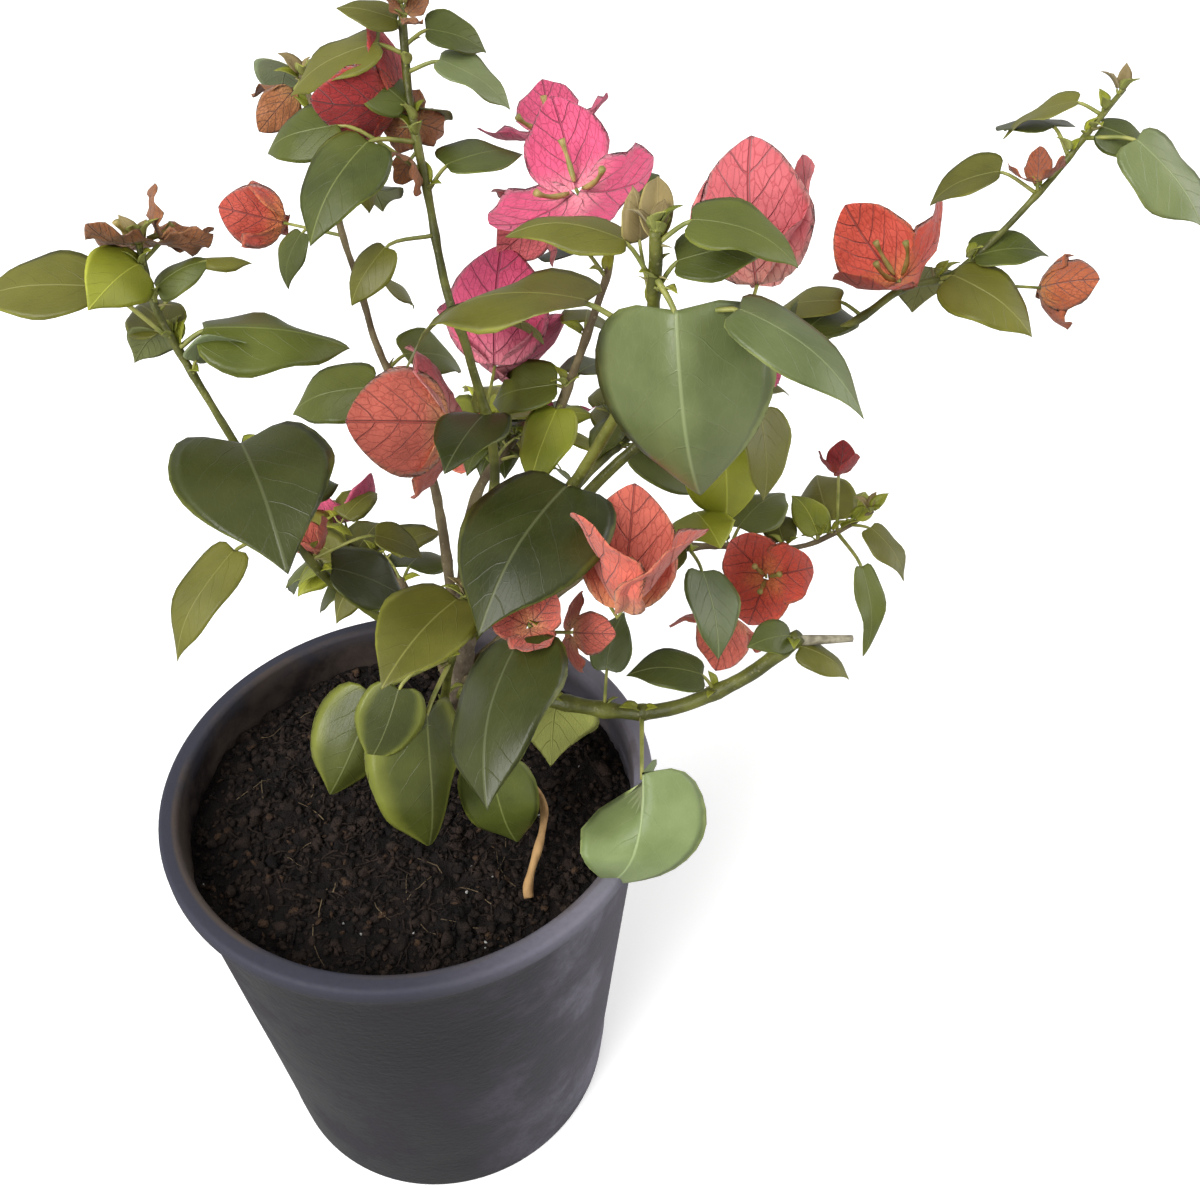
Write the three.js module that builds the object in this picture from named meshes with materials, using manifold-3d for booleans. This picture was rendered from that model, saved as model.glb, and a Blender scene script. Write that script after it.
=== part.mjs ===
// A bougainvillea bush in a plain nursery pot: a short woody trunk, thin arching
// boughs, and masses of heart-shaped leaves and three-bract blooms.
// Millimetres, +Z up. The origin is the middle of the pot's flat underside.

import * as THREE from 'three';
import { mergeVertices } from 'three/addons/utils/BufferGeometryUtils.js';
import Module from 'manifold-3d';

const wasm = await Module();
wasm.setup();

// ---- driving dimensions ----------------------------------------------------

const gap = 0.3;               // clearance between neighbouring pieces

const pot = {
  height: 205,
  rimRadius: 100,              // outside of the rolled rim
  lipDepth: 8,                 // how far the rim reaches down the wall
  lipOverhang: 3.5,            // how far it stands out from the wall
  lipSlope: 3,                 // height of the slope under it
  lipRound: 2,                 // softened edges of the rim
  rimWidth: 8,                 // flat top of the rim
  baseRadius: 79,              // where the wall line meets the ground
  footRound: 5,                // rounded edge of the foot
  wall: 3,
  floor: 4,
  drainHoles: 4,
  drainHoleRadius: 5,
  drainHoleCircle: 55,
  segments: 32,
};

const soil = {
  level: 190,                  // flat middle that the trunk stands on
  flatRadius: 42,
  halfwayDrop: 2,              // how far it has fallen half way to the rim
  edgeDrop: 5,                 // how far it falls away at the wall
};

// The trunk's path starts under the soil's surface, and its foot is cut level there.
const trunk = {
  path: [[13.5, 26, 184], [23, 19, 222], [28, 14, 256], [30, 13, 282]],
  footFlare: 10.5,
  footFlareHeight: 18,
  footRadius: 7.5,
  tipRadius: 3.6,
};

const blade = {
  thickness: 1.3,              // leaf at its midrib, tapering to a sharp margin
  leafRatio: 0.72,             // width over length of a grown leaf
  leafArch: 0.07,              // rise of the middle of the blade over its length
  leafFold: 0.22,              // how far the margins fold up beside the midrib
  bractRatio: 0.8,
  bractThickness: 1.0,
  bractCup: 0.04,
  bractArch: -0.1,             // bracts curl outwards at the tip
  stalkReach: 0.12,            // share of the leaf that its stalk runs into
  stalkRadius: 0.8,
  pedicelRadius: 0.65,
  bloomCore: 2.2,
};

// Each shoot leaves the trunk as a bare bough and ends in a leafy mass.
//   path    points along its middle
//   radii   at the trunk, where the leaves begin, and at the tip
//   bare    share of its length with no leaves
//   leaves  [along, stalk, heading, rise, roll, length, ratio], along from 0 to 1
//   blooms  [along, pedicel, heading, rise, length, opening, spin, lead], where lead is
//           the heading and rise of the pedicel, if it isn't the bloom's own
//   filler  how many more leaves and blooms grow by rule, within which headings
//   snag    a dry stub left beside a cut end
// Headings turn from +X towards +Y, and all angles are in degrees.
const shoots = [
  {
    name: 'upper', path: [[30, 13, 278], [45, 14, 335], [40, 18, 380], [35, 25, 402],
      [33, 35, 428], [31, 45, 455], [32, 52, 480]],
    radii: [2.8, 1.7, 1.0], bare: 0.33,
    leaves: [
      [0.96, 3, 175, 10, -25, 18], [0.94, 8, 5, -20, 35, 20], [0.91, 11, 340, -30, 10, 25],
      [0.93, 8, 170, -25, -15, 33], [0.84, 7, 155, 30, -25, 22], [0.75, 10, 20, -5, 10, 31],
      [0.82, 19, 215, -35, -15, 36], [0.78, 28, 165, -20, -35, 28], [0.69, 19, 210, -45, -5, 21],
      [0.38, 4, 245, 0, 5, 34],
    ],
    blooms: [
      [0.87, 4, 140, 10, 26, 50, 0], [0.85, 4, 85, -20, 16, 40, 80],
      [0.39, 20, 70, 20, 42, 36, 90], [0.37, 13, 146, -12, 36, 54, 30, [160, 0]],
    ],
    filler: { count: 2, from: 30, to: 120 },
  },
  {
    name: 'back_left', path: [[26, 17, 258], [26, 45, 310], [19, 62, 340], [12, 70, 362],
      [9, 76, 382], [5, 82, 406], [4, 86, 432], [0, 90, 452]],
    radii: [2.5, 1.5, 0.9], bare: 0.38,
    leaves: [
      [0.98, 12, 110, -35, 25, 28], [0.78, 15, 210, -55, 0, 20], [0.44, 14, 160, -15, -30, 37],
    ],
    blooms: [[0.99, 4, 160, -45, 18, 35, 0], [0.75, 25, 140, 0, 23, 35, 30]],
    filler: { count: 4, from: 30, to: 150 },
  },
  {
    name: 'left', path: [[22, 17, 246], [-18, 15, 299], [-32, 15, 337], [-39, 10, 365],
      [-50, 20, 394], [-54, 24, 408], [-55, 30, 424]],
    radii: [2.7, 1.7, 1.0], bare: 0.27,
    leaves: [
      [0.85, 26, 170, -5, -20, 37], [0.96, 3, 240, 5, -50, 27], [0.91, 6, 5, 25, 20, 20],
      [0.84, 11, 355, -15, 5, 45], [0.85, 5, 135, -35, 50, 20], [0.65, 15, 280, -5, -5, 56],
      [0.45, 24, 220, -35, -5, 42, 0.5], [0.35, 4, 5, -40, 20, 37], [0.38, 25, 0, -35, 15, 20],
    ],
    blooms: [
      [0.96, 8, 85, 60, 21, 85, 65], [0.97, 8, 30, 30, 16, 50, 75], [0.32, 12, 135, 65, 15, 36, 0],
    ],
    filler: { count: 2, from: 60, to: 140 },
  },
  {
    name: 'top', path: [[29, 14, 266], [63, 22, 335], [85, 28, 387], [93, 38, 405], [90, 50, 420]],
    radii: [2.6, 1.7, 1.1], bare: 0.45,
    leaves: [[0.58, 4, 155, -25, -25, 30], [0.55, 4, 235, -45, 10, 30]],
    blooms: [
      [0.99, 26, 218, 61, 32, 70, 13, [243, 22]], [1, 25, 162, 76, 26, 70, 66, [125, 38]],
      [0.9, 24, 212, -16, 22, 50, 104, [150, 18]],
    ],
    filler: { count: 4, from: 40, to: 140 },
  },
  {
    name: 'front', path: [[29, 13, 262], [50, -4, 310], [70, -18, 355], [85, -32, 400],
      [86, -38, 430], [85, -40, 443]],
    radii: [2.8, 2.1, 1.5], bare: 0.44,
    leaves: [
      [0.93, 12, 290, -80, 40, 62], [0.81, 21, 150, -20, 5, 67, 0.55], [0.91, 14, 150, 5, -5, 34, 0.55],
      [0.95, 5, 70, 40, -5, 21, 0.6], [0.97, 12, 335, -10, 15, 31],
      [0.89, 12, 340, 10, 25, 27], [0.83, 28, 322, -25, 10, 46, 0.58], [0.49, 4, 225, -15, -5, 60],
    ],
    blooms: [[0.82, 44, 73, 50, 43, 20, 69, [26, 2]], [0.48, 45, 49, 72, 42, 21, 58, [284, -36]]],
    filler: { count: 1, from: 40, to: 120 },
  },
  {
    name: 'right', path: [[28, 15, 256], [84, 15, 327], [129, 20, 355], [182, 30, 370],
      [203, 35, 379], [229, 40, 382], [258, 45, 407], [277, 50, 428], [289, 55, 438]],
    radii: [2.9, 1.8, 1.0], bare: 0.37,
    leaves: [
      [0.42, 14, 275, -80, 0, 39], [0.47, 20, 260, -60, -35, 33], [0.61, 10, 150, -20, -10, 30],
      [0.72, 6, 305, -15, 25, 37], [0.76, 3, 355, 5, 15, 29], [0.86, 16, 135, -30, -25, 29],
      [0.96, 10, 140, -30, -10, 28], [0.94, 4, 325, -20, 30, 22], [0.93, 18, 310, -40, 20, 40],
    ],
    blooms: [
      [0.86, 4, 135, 75, 14, 50, 70], [0.67, 3, 180, 60, 34, 45, 65], [0.71, 42, 350, -5, 21, 46, 20],
    ],
    filler: { count: 3, from: 40, to: 150 },
  },
  {
    name: 'low_right', path: [[26, 16, 240], [83, 12, 290], [126, 18, 286], [172, 24, 273],
      [206, 30, 281]],
    radii: [2.6, 1.6, 0.8], bare: 0.48,
    leaves: [
      [0.55, 28, 267, 15, 10, 32], [0.57, 4, 175, -40, 0, 33], [0.56, 24, 265, -35, -30, 34],
      [0.86, 3, 95, 25, -5, 22], [0.93, 3, 50, 10, -5, 19], [0.93, 10, 300, -30, -5, 26],
      [0.9, 22, 275, -55, -5, 38, 0.35], [0.78, 3, 85, 5, -5, 20],
    ],
    blooms: [
      [0.72, 13, 242, 38, 28, 45, 21, [269, -29]],
      [0.7, 30, 215, -65, 27, 55, 55], [0.9, 26, 105, 80, 14, 36, 100],
    ],
    filler: { count: 2, from: 40, to: 140 },
  },
  {
    name: 'cane', path: [[24, 17, 230], [45, -15, 254], [89, -35, 254], [120, -45, 272],
      [140, -50, 295]],
    radii: [3.6, 3.0, 2.6], bare: 0.36,
    leaves: [
      [0.48, 17, 65, 40, -10, 23], [0.75, 10, 165, 10, -5, 28], [0.93, 7, 330, -20, 5, 21],
      [0.57, 25, 255, -65, -15, 54, 0.8], [0.4, 11, 100, -75, 20, 36, 0.95],
    ],
    blooms: [],
    filler: { count: 0, from: 0, to: 0 },
    snag: { along: 0.97, heading: 355, rise: -5, length: 22, radii: [2.2, 1.3] },
  },
  {
    name: 'low_front', path: [[19, 20, 220], [16, -2, 240], [17, -15, 261], [21, -25, 292],
      [28, -25, 313]],
    radii: [2.2, 2.1, 1.2], bare: 0,
    leaves: [
      [0.76, 30, 200, -57, -60, 47], [0.84, 26, 210, -65, -50, 32], [0.73, 21, 235, -70, -60, 62, 0.6],
      [0.99, 7, 225, -5, -5, 43], [0.45, 30, 298, -75, 44, 42],
    ],
    blooms: [],
    filler: { count: 0, from: 0, to: 0 },
  },
  {
    name: 'apron', path: [[26, 15, 238], [39, -22, 276], [46, -45, 313]],
    radii: [2, 1.8, 1.2], bare: 0,
    leaves: [[0.99, 11, 240, -20, 28, 58]],
    blooms: [[0.98, 8, 255, 55, 18, 40, 44], [0.97, 15, 10, -20, 17, 66, 24]],
    filler: { count: 0, from: 0, to: 0 },
  },
  {
    name: 'back', path: [[26, 17, 250], [40, 55, 292], [62, 92, 296], [72, 128, 276], [74, 150, 252]],
    radii: [2.8, 2.1, 1.1], bare: 0.4,
    leaves: [], blooms: [],
    filler: { count: 9, from: 0, to: 180, blooms: 2 },
  },
  {
    name: 'back_right', path: [[30, 15, 258], [80, 50, 298], [125, 80, 310], [158, 108, 304],
      [175, 130, 286]],
    radii: [2.8, 2.1, 1.1], bare: 0.4,
    leaves: [], blooms: [],
    filler: { count: 9, from: -30, to: 150, blooms: 2 },
  },
  {
    name: 'back_low', path: [[21, 22, 234], [10, 60, 252], [-4, 92, 252], [-10, 112, 240]],
    radii: [2.4, 1.9, 1.1], bare: 0.35,
    leaves: [], blooms: [],
    filler: { count: 6, from: 60, to: 210, blooms: 1 },
  },
];

const filler = {
  goldenAngle: 137.5,
  firstLeaf: 0.06,             // how far past the bare part the first leaf stands
  leafLength: [24, 42],
  leafRise: [-50, 5],
  leafRoll: [-25, 25],
  stalk: [6, 14],
  bloomLength: [24, 32],
  bloomPedicel: 12,
  bloomRise: 35,
  bloomOpening: 52,
  bloomTurn: 40,               // blooms stand this far round from the leaves
};

const colour = {
  pot: 0x2a2d35, soil: 0x2b2320, trunk: 0x6b5a45, bough: 0x66703a, foliage: 0x5d7040,
};

// ---- small tools -----------------------------------------------------------

const radians = THREE.MathUtils.degToRad;
const mix = THREE.MathUtils.lerp;

// A repeatable source of numbers from 0 to 1.
function dice(seed) {
  let state = seed;
  return () => {
    state = (state * 1664525 + 1013904223) % 4294967296;
    return state / 4294967296;
  };
}

function direction(heading, rise) {
  const h = radians(heading);
  const r = radians(rise);
  return new THREE.Vector3(Math.cos(r) * Math.cos(h), Math.cos(r) * Math.sin(h), Math.sin(r));
}

// The middle line of a limb: a smooth curve whose t follows the straight lengths
// between its points.
class Limb extends THREE.Curve {
  constructor(path) {
    super();
    this.points = path.map((p) => new THREE.Vector3(...p));
    this.marks = [0];
    for (let i = 1; i < this.points.length; i += 1) {
      this.marks.push(this.marks[i - 1] + this.points[i].distanceTo(this.points[i - 1]));
    }
    this.span = this.marks[this.marks.length - 1];
  }

  getPoint(t) {
    const last = this.points.length - 1;
    const reach = THREE.MathUtils.clamp(t, 0, 1) * this.span;
    let i = 0;
    while (i < last - 1 && this.marks[i + 1] <= reach) i += 1;
    const u = (reach - this.marks[i]) / (this.marks[i + 1] - this.marks[i]);
    const before = this.points[Math.max(i - 1, 0)];
    const after = this.points[Math.min(i + 2, last)];
    const [a, b] = [this.points[i], this.points[i + 1]];
    const along = (p, q, r, s) => 0.5 * (2 * q + (r - p) * u + (2 * p - 5 * q + 4 * r - s) * u * u
      + (3 * q - p - 3 * r + s) * u * u * u);
    return new THREE.Vector3(
      along(before.x, a.x, b.x, after.x),
      along(before.y, a.y, b.y, after.y),
      along(before.z, a.z, b.z, after.z),
    );
  }
}

// A closed three.js geometry as a solid that can be joined and cut.
function toSolid(geometry) {
  const plain = geometry.clone();
  plain.deleteAttribute('normal');
  plain.deleteAttribute('uv');
  const merged = mergeVertices(plain, 1e-4);
  return new wasm.Manifold(new wasm.Mesh({
    numProp: 3,
    vertProperties: new Float32Array(merged.attributes.position.array),
    triVerts: new Uint32Array(merged.index.array),
  }));
}

function toPiece(name, solid, hex) {
  const mesh = solid.getMesh();
  const geometry = new THREE.BufferGeometry();
  geometry.setAttribute('position', new THREE.BufferAttribute(mesh.vertProperties, 3));
  geometry.setIndex(new THREE.BufferAttribute(mesh.triVerts, 1));
  geometry.computeVertexNormals();
  const material = new THREE.MeshStandardMaterial({ color: hex, roughness: 0.7, metalness: 0 });
  const piece = new THREE.Mesh(geometry, material);
  piece.name = name;
  return piece;
}

const joinAll = (solids) => solids.reduce((whole, next) => whole.add(next));

// Keeps the largest body of a solid, so that no loose scrap is left by a cut.
function largest(solid) {
  const bodies = solid.decompose();
  return bodies.reduce((best, body) => (body.volume() > best.volume() ? body : best));
}

// A round rod bent along a curve from t0 to t1; radiusAt(s) takes s from 0 to 1.
function rod(curve, t0, t1, radiusAt, sides, rings) {
  const geometry = new THREE.CylinderGeometry(1, 1, 1, sides, rings);
  const spots = [];
  let across = new THREE.Vector3(1, 0, 0);
  for (let i = 0; i <= rings; i += 1) {
    const t = mix(t0, t1, i / rings);
    const tangent = curve.getTangent(t);
    across = across.clone().addScaledVector(tangent, -across.dot(tangent)).normalize();
    spots.push({ point: curve.getPoint(t), across, beside: across.clone().cross(tangent) });
  }
  const position = geometry.attributes.position;
  for (let k = 0; k < position.count; k += 1) {
    const s = position.getY(k) + 0.5;
    const { point, across: x, beside: z } = spots[Math.round(s * rings)];
    const radius = radiusAt(s);
    const moved = point.clone()
      .addScaledVector(x, position.getX(k) * radius)
      .addScaledVector(z, position.getZ(k) * radius);
    position.setXYZ(k, moved.x, moved.y, moved.z);
  }
  return toSolid(geometry);
}

const straight = (from, to) => new THREE.LineCurve3(from, to);

// ---- pot and soil ----------------------------------------------------------

const lathe = (profile) => {
  const geometry = new THREE.LatheGeometry(profile.map((p) => new THREE.Vector2(...p)), pot.segments);
  geometry.rotateX(Math.PI / 2);
  return toSolid(geometry);
};

// Outer radius of the pot's wall at a height, without the rim.
const wallRadius = (z) => mix(pot.baseRadius, pot.rimRadius - pot.lipOverhang, z / pot.height);

function makePot() {
  const profile = [[0, 0]];
  const turns = 4;
  for (let i = 0; i <= turns; i += 1) {
    const a = (Math.PI / 2) * (i / turns);
    const r = pot.footRound;
    profile.push([wallRadius(r) - r + r * Math.sin(a), r - r * Math.cos(a)]);
  }
  const lipFoot = pot.height - pot.lipDepth;
  const slopeFoot = lipFoot - pot.lipSlope;
  const insideFoot = slopeFoot - pot.lipSlope;
  const inner = pot.rimRadius - pot.rimWidth;
  profile.push([wallRadius(slopeFoot), slopeFoot]);
  profile.push([pot.rimRadius - pot.lipRound / 2, lipFoot]);
  profile.push([pot.rimRadius, lipFoot + pot.lipRound]);
  profile.push([pot.rimRadius, pot.height - pot.lipRound]);
  profile.push([pot.rimRadius - pot.lipRound, pot.height]);
  profile.push([inner + pot.lipRound / 2, pot.height]);
  profile.push([inner, pot.height - pot.lipRound]);
  profile.push([wallRadius(insideFoot) - pot.wall, insideFoot]);
  profile.push([wallRadius(pot.floor) - pot.wall, pot.floor]);
  profile.push([0, pot.floor]);
  let body = lathe(profile);
  for (let i = 0; i < pot.drainHoles; i += 1) {
    const drill = new THREE.CylinderGeometry(pot.drainHoleRadius, pot.drainHoleRadius, 4 * pot.floor, 12);
    drill.rotateX(Math.PI / 2);
    const a = (2 * Math.PI * (i + 0.5)) / pot.drainHoles;
    drill.translate(pot.drainHoleCircle * Math.cos(a), pot.drainHoleCircle * Math.sin(a), 0);
    body = body.subtract(toSolid(drill));
  }
  return body;
}

function makeSoil() {
  const edge = soil.level - soil.edgeDrop;
  const bottom = pot.floor + gap;
  return lathe([
    [0, bottom],
    [wallRadius(bottom) - pot.wall - gap, bottom],
    [wallRadius(edge) - pot.wall - gap, edge],
    [(soil.flatRadius + pot.rimRadius) / 2, soil.level - soil.halfwayDrop],
    [soil.flatRadius, soil.level],
    [0, soil.level],
  ]);
}

// ---- trunk and boughs ------------------------------------------------------

const trunkCurve = new Limb(trunk.path);

function trunkRod(extra) {
  const flare = (height) => (trunk.footFlare - trunk.footRadius)
    * Math.max(0, 1 - height / trunk.footFlareHeight) ** 2;
  const radiusAt = (s) => mix(trunk.footRadius, trunk.tipRadius, s)
    + flare(s * trunkCurve.span) + extra;
  return rod(trunkCurve, 0, 1, radiusAt, 10, 9);
}

function makeTrunk() {
  const ground = new THREE.BoxGeometry(4 * soil.flatRadius, 4 * soil.flatRadius, soil.level);
  ground.translate(0, 0, soil.level / 2 + gap);
  return trunkRod(0).subtract(toSolid(ground));
}

for (const shoot of shoots) {
  shoot.curve = new Limb(shoot.path);
  const [atTrunk, atLeaves, atTip] = shoot.radii;
  shoot.radiusAt = (t) => (t < shoot.bare
    ? mix(atTrunk, atLeaves, t / shoot.bare)
    : mix(atLeaves, atTip, (t - shoot.bare) / (1 - shoot.bare)));
}

// A stretch of a shoot as a solid rod.
function stretch(shoot, t0, t1, extra = 0) {
  const rings = Math.max(2, Math.round(((t1 - t0) * shoot.curve.span) / 18));
  return rod(shoot.curve, t0, t1, (s) => shoot.radiusAt(mix(t0, t1, s)) + extra, 6, rings);
}

// ---- leaves and blooms -----------------------------------------------------

// Half width of a blade at u, from 0 at its base to 1 at its tip, over the widest.
const leafOutline = (u) => 2.455 * u ** 0.45 * (1 - u);
const bractOutline = (u) => 2.83 * (u * (1 - u)) ** 0.75;

// A blade's own directions: along it, to its left, and out of its upper face.
function bladeFrame(heading, rise, roll) {
  const along = direction(heading, rise);
  const left = new THREE.Vector3(-Math.sin(radians(heading)), Math.cos(radians(heading)), 0);
  const out = along.clone().cross(left);
  const [c, s] = [Math.cos(radians(roll)), Math.sin(radians(roll))];
  return {
    along,
    left: left.clone().multiplyScalar(c).addScaledVector(out, s),
    out: out.clone().multiplyScalar(c).addScaledVector(left, -s),
  };
}

// A thin closed blade with a thick midrib and a sharp margin. A sphere with four
// meridians gives its base, its tip, both margins and both faces.
function bladeSolid(base, frame, shape, extra = 0) {
  const geometry = new THREE.SphereGeometry(1, 4, shape.rings);
  const position = geometry.attributes.position;
  const length = shape.length + 2 * extra;
  for (let k = 0; k < position.count; k += 1) {
    const [x, y, z] = [position.getX(k), position.getY(k), position.getZ(k)];
    const ring = Math.sqrt(Math.max(0, 1 - y * y));
    const across = ring > 1e-6 ? x / ring : 0;
    const face = ring > 1e-6 ? z / ring : 0;
    const u = (1 - y) / 2;
    const half = ring > 1e-6 ? (shape.outline(u) * shape.length * shape.ratio) / 2 + extra : 0;
    const lift = shape.arch * shape.length * 4 * u * (1 - u) + shape.fold * Math.abs(across) * half
      + face * (shape.thickness / 2 + extra);
    const moved = base.clone()
      .addScaledVector(frame.along, length * u - extra)
      .addScaledVector(frame.left, across * half)
      .addScaledVector(frame.out, lift);
    position.setXYZ(k, moved.x, moved.y, moved.z);
  }
  return toSolid(geometry);
}

const stalkRise = (rise) => Math.min(rise + 50, 75);

// A leaf with its stalk; returns its parts and the room it needs.
function makeLeaf(shoot, [t, stalk, heading, rise, roll, length, ratio = blade.leafRatio]) {
  const from = shoot.curve.getPoint(t);
  const base = from.clone().addScaledVector(direction(heading, stalkRise(rise)), stalk);
  const frame = bladeFrame(heading, rise, roll);
  const shape = {
    length, ratio, rings: length > 40 ? 5 : length > 24 ? 4 : 3, outline: leafOutline,
    arch: blade.leafArch, fold: blade.leafFold, thickness: blade.thickness,
  };
  const reach = blade.stalkReach;
  const heart = base.clone().addScaledVector(frame.along, reach * length)
    .addScaledVector(frame.out, blade.leafArch * length * 4 * reach * (1 - reach));
  const stem = rod(straight(from, heart), 0, 1, () => blade.stalkRadius, 3, 1);
  return {
    parts: [stem, bladeSolid(base, frame, shape)],
    rooms: [bladeSolid(base, frame, shape, gap)],
  };
}

// Three bracts round a small core at the end of a pedicel.
function makeBloom(shoot, row) {
  const [t, pedicel, heading, rise, length, opening, spin, lead = [heading, rise]] = row;
  const axis = direction(heading, rise);
  const from = shoot.curve.getPoint(t);
  const base = from.clone().addScaledVector(direction(...lead), pedicel);
  const side = new THREE.Vector3(-Math.sin(radians(heading)), Math.cos(radians(heading)), 0);
  const top = axis.clone().cross(side);
  const core = new THREE.OctahedronGeometry(blade.bloomCore);
  core.translate(base.x, base.y, base.z);
  const parts = [rod(straight(from, base), 0, 1, () => blade.pedicelRadius, 3, 1), toSolid(core)];
  const rooms = [];
  for (let i = 0; i < 3; i += 1) {
    const a = radians(spin + 120 * i);
    const outward = side.clone().multiplyScalar(Math.cos(a)).addScaledVector(top, Math.sin(a));
    const [c, s] = [Math.cos(radians(opening)), Math.sin(radians(opening))];
    const along = axis.clone().multiplyScalar(c).addScaledVector(outward, s);
    const out = axis.clone().multiplyScalar(s).addScaledVector(outward, -c);
    const frame = { along, left: out.clone().cross(along), out };
    const shape = {
      length, ratio: blade.bractRatio, rings: 3, outline: bractOutline,
      arch: blade.bractArch, fold: blade.bractCup, thickness: blade.bractThickness,
    };
    const foot = base.clone().addScaledVector(along, blade.bloomCore * 0.45);
    parts.push(bladeSolid(foot, frame, shape));
    rooms.push(bladeSolid(foot, frame, shape, gap));
  }
  return { parts, rooms };
}

// ---- growing the crown -----------------------------------------------------

const placed = [];

// True when two boxes touch.
function meets(a, b) {
  return [0, 1, 2].every((i) => a.min[i] <= b.max[i] && b.min[i] <= a.max[i]);
}

function place(owner, solid) {
  placed.push({ owner, solid, box: solid.boundingBox() });
}

// True when none of the rooms touches a piece of another owner.
function isFree(owner, rooms) {
  return rooms.every((room) => {
    const box = room.boundingBox();
    return !placed.some((item) => item.owner !== owner && meets(box, item.box)
      && !room.intersect(item.solid).isEmpty());
  });
}

const nearSoil = (solid) => solid.boundingBox().min[2] < soil.level + 1;

// Adds a leaf or bloom to its shoot, or leaves it out when it has no room.
function grow(shoot, item) {
  const needed = [...item.rooms, ...item.parts];
  if (item.rooms.some(nearSoil) || !isFree(shoot.name, needed)) return;
  item.parts.forEach((solid) => place(shoot.name, solid));
  shoot.grown.push(...item.parts);
}

// Leaves and blooms that follow one rule: each stands a golden angle on from the
// last, within the shoot's own headings.
function fillerRows(shoot, seed) {
  const roll = dice(seed);
  const { count, from, to, blooms = 0 } = shoot.filler;
  const between = ([low, high]) => mix(low, high, roll());
  const rows = [];
  for (let i = 0; i < count; i += 1) {
    const t = mix(shoot.bare + filler.firstLeaf, 1, (i + 0.5) / count);
    const heading = from + ((i * filler.goldenAngle) % (to - from));
    rows.push({ kind: 'leaf', row: [t, between(filler.stalk), heading, between(filler.leafRise),
      between(filler.leafRoll), between(filler.leafLength)] });
  }
  for (let i = 0; i < blooms; i += 1) {
    const t = mix(0.6, 1, (i + 1) / blooms);
    const heading = from + ((i * filler.goldenAngle + filler.bloomTurn) % (to - from));
    rows.push({ kind: 'bloom', row: [t, filler.bloomPedicel, heading, filler.bloomRise,
      between(filler.bloomLength), filler.bloomOpening, 360 * roll()] });
  }
  return rows;
}

const assembly = new THREE.Group();
assembly.name = 'potted_bougainvillea';
const potSolid = makePot();
assembly.add(toPiece('pot', potSolid, colour.pot));
place('pot', potSolid);
assembly.add(toPiece('soil', makeSoil(), colour.soil));
const trunkSolid = makeTrunk();
place('trunk', trunkSolid);
assembly.add(toPiece('trunk', trunkSolid, colour.trunk));

// Boughs: each starts clear of the trunk and of the boughs before it, and stops
// where its leaves begin.
const limbRooms = [trunkRod(gap)];
const clearOfLimbs = (solid) => largest(limbRooms.reduce((rest, room) => rest.subtract(room), solid));
for (const shoot of shoots) {
  if (shoot.bare === 0) continue;
  const bough = clearOfLimbs(stretch(shoot, 0, shoot.bare));
  limbRooms.push(stretch(shoot, 0, shoot.bare, gap));
  place(shoot.name, bough);
  assembly.add(toPiece(`bough_${shoot.name}`, bough, colour.bough));
}

// The leafy stems, then what grows on them.
for (const shoot of shoots) {
  const start = shoot.bare === 0 ? 0 : shoot.bare + gap / shoot.curve.span;
  const stem = stretch(shoot, start, 1);
  const cut = shoot.bare === 0 ? clearOfLimbs(stem) : stem;
  shoot.grown = [cut];
  place(shoot.name, cut);
  if (shoot.snag) {
    const { along, heading, rise, length, radii } = shoot.snag;
    const tip = shoot.curve.getPoint(along);
    const end = tip.clone().addScaledVector(direction(heading, rise), length);
    const snag = rod(straight(tip, end), 0, 1, (s) => mix(...radii, s), 5, 1);
    shoot.grown.push(snag);
    place(shoot.name, snag);
  }
}
for (const shoot of shoots) {
  shoot.leaves.forEach((row) => grow(shoot, makeLeaf(shoot, row)));
  shoot.blooms.forEach((row) => grow(shoot, makeBloom(shoot, row)));
}
shoots.forEach((shoot, i) => {
  for (const { kind, row } of fillerRows(shoot, 100 + i)) {
    grow(shoot, kind === 'leaf' ? makeLeaf(shoot, row) : makeBloom(shoot, row));
  }
  assembly.add(toPiece(`foliage_${shoot.name}`, largest(joinAll(shoot.grown)), colour.foliage));
});

export default assembly;
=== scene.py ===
# %% [markdown]
# # A bougainvillea bush in a nursery pot
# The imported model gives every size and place: a black pot full of potting mix, a
# short woody trunk, thin boughs, and masses of leaves and papery blooms. This
# lesson keeps those places and grows the finer plant over them: leaves with a
# fold, a curl and veins, bracts like crumpled paper, green canes with thorns,
# bark, and a crumbly soil.

# %% The frame
import math

import bmesh
import bpy
import numpy as np
from mathutils import Matrix, Vector, noise


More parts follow.
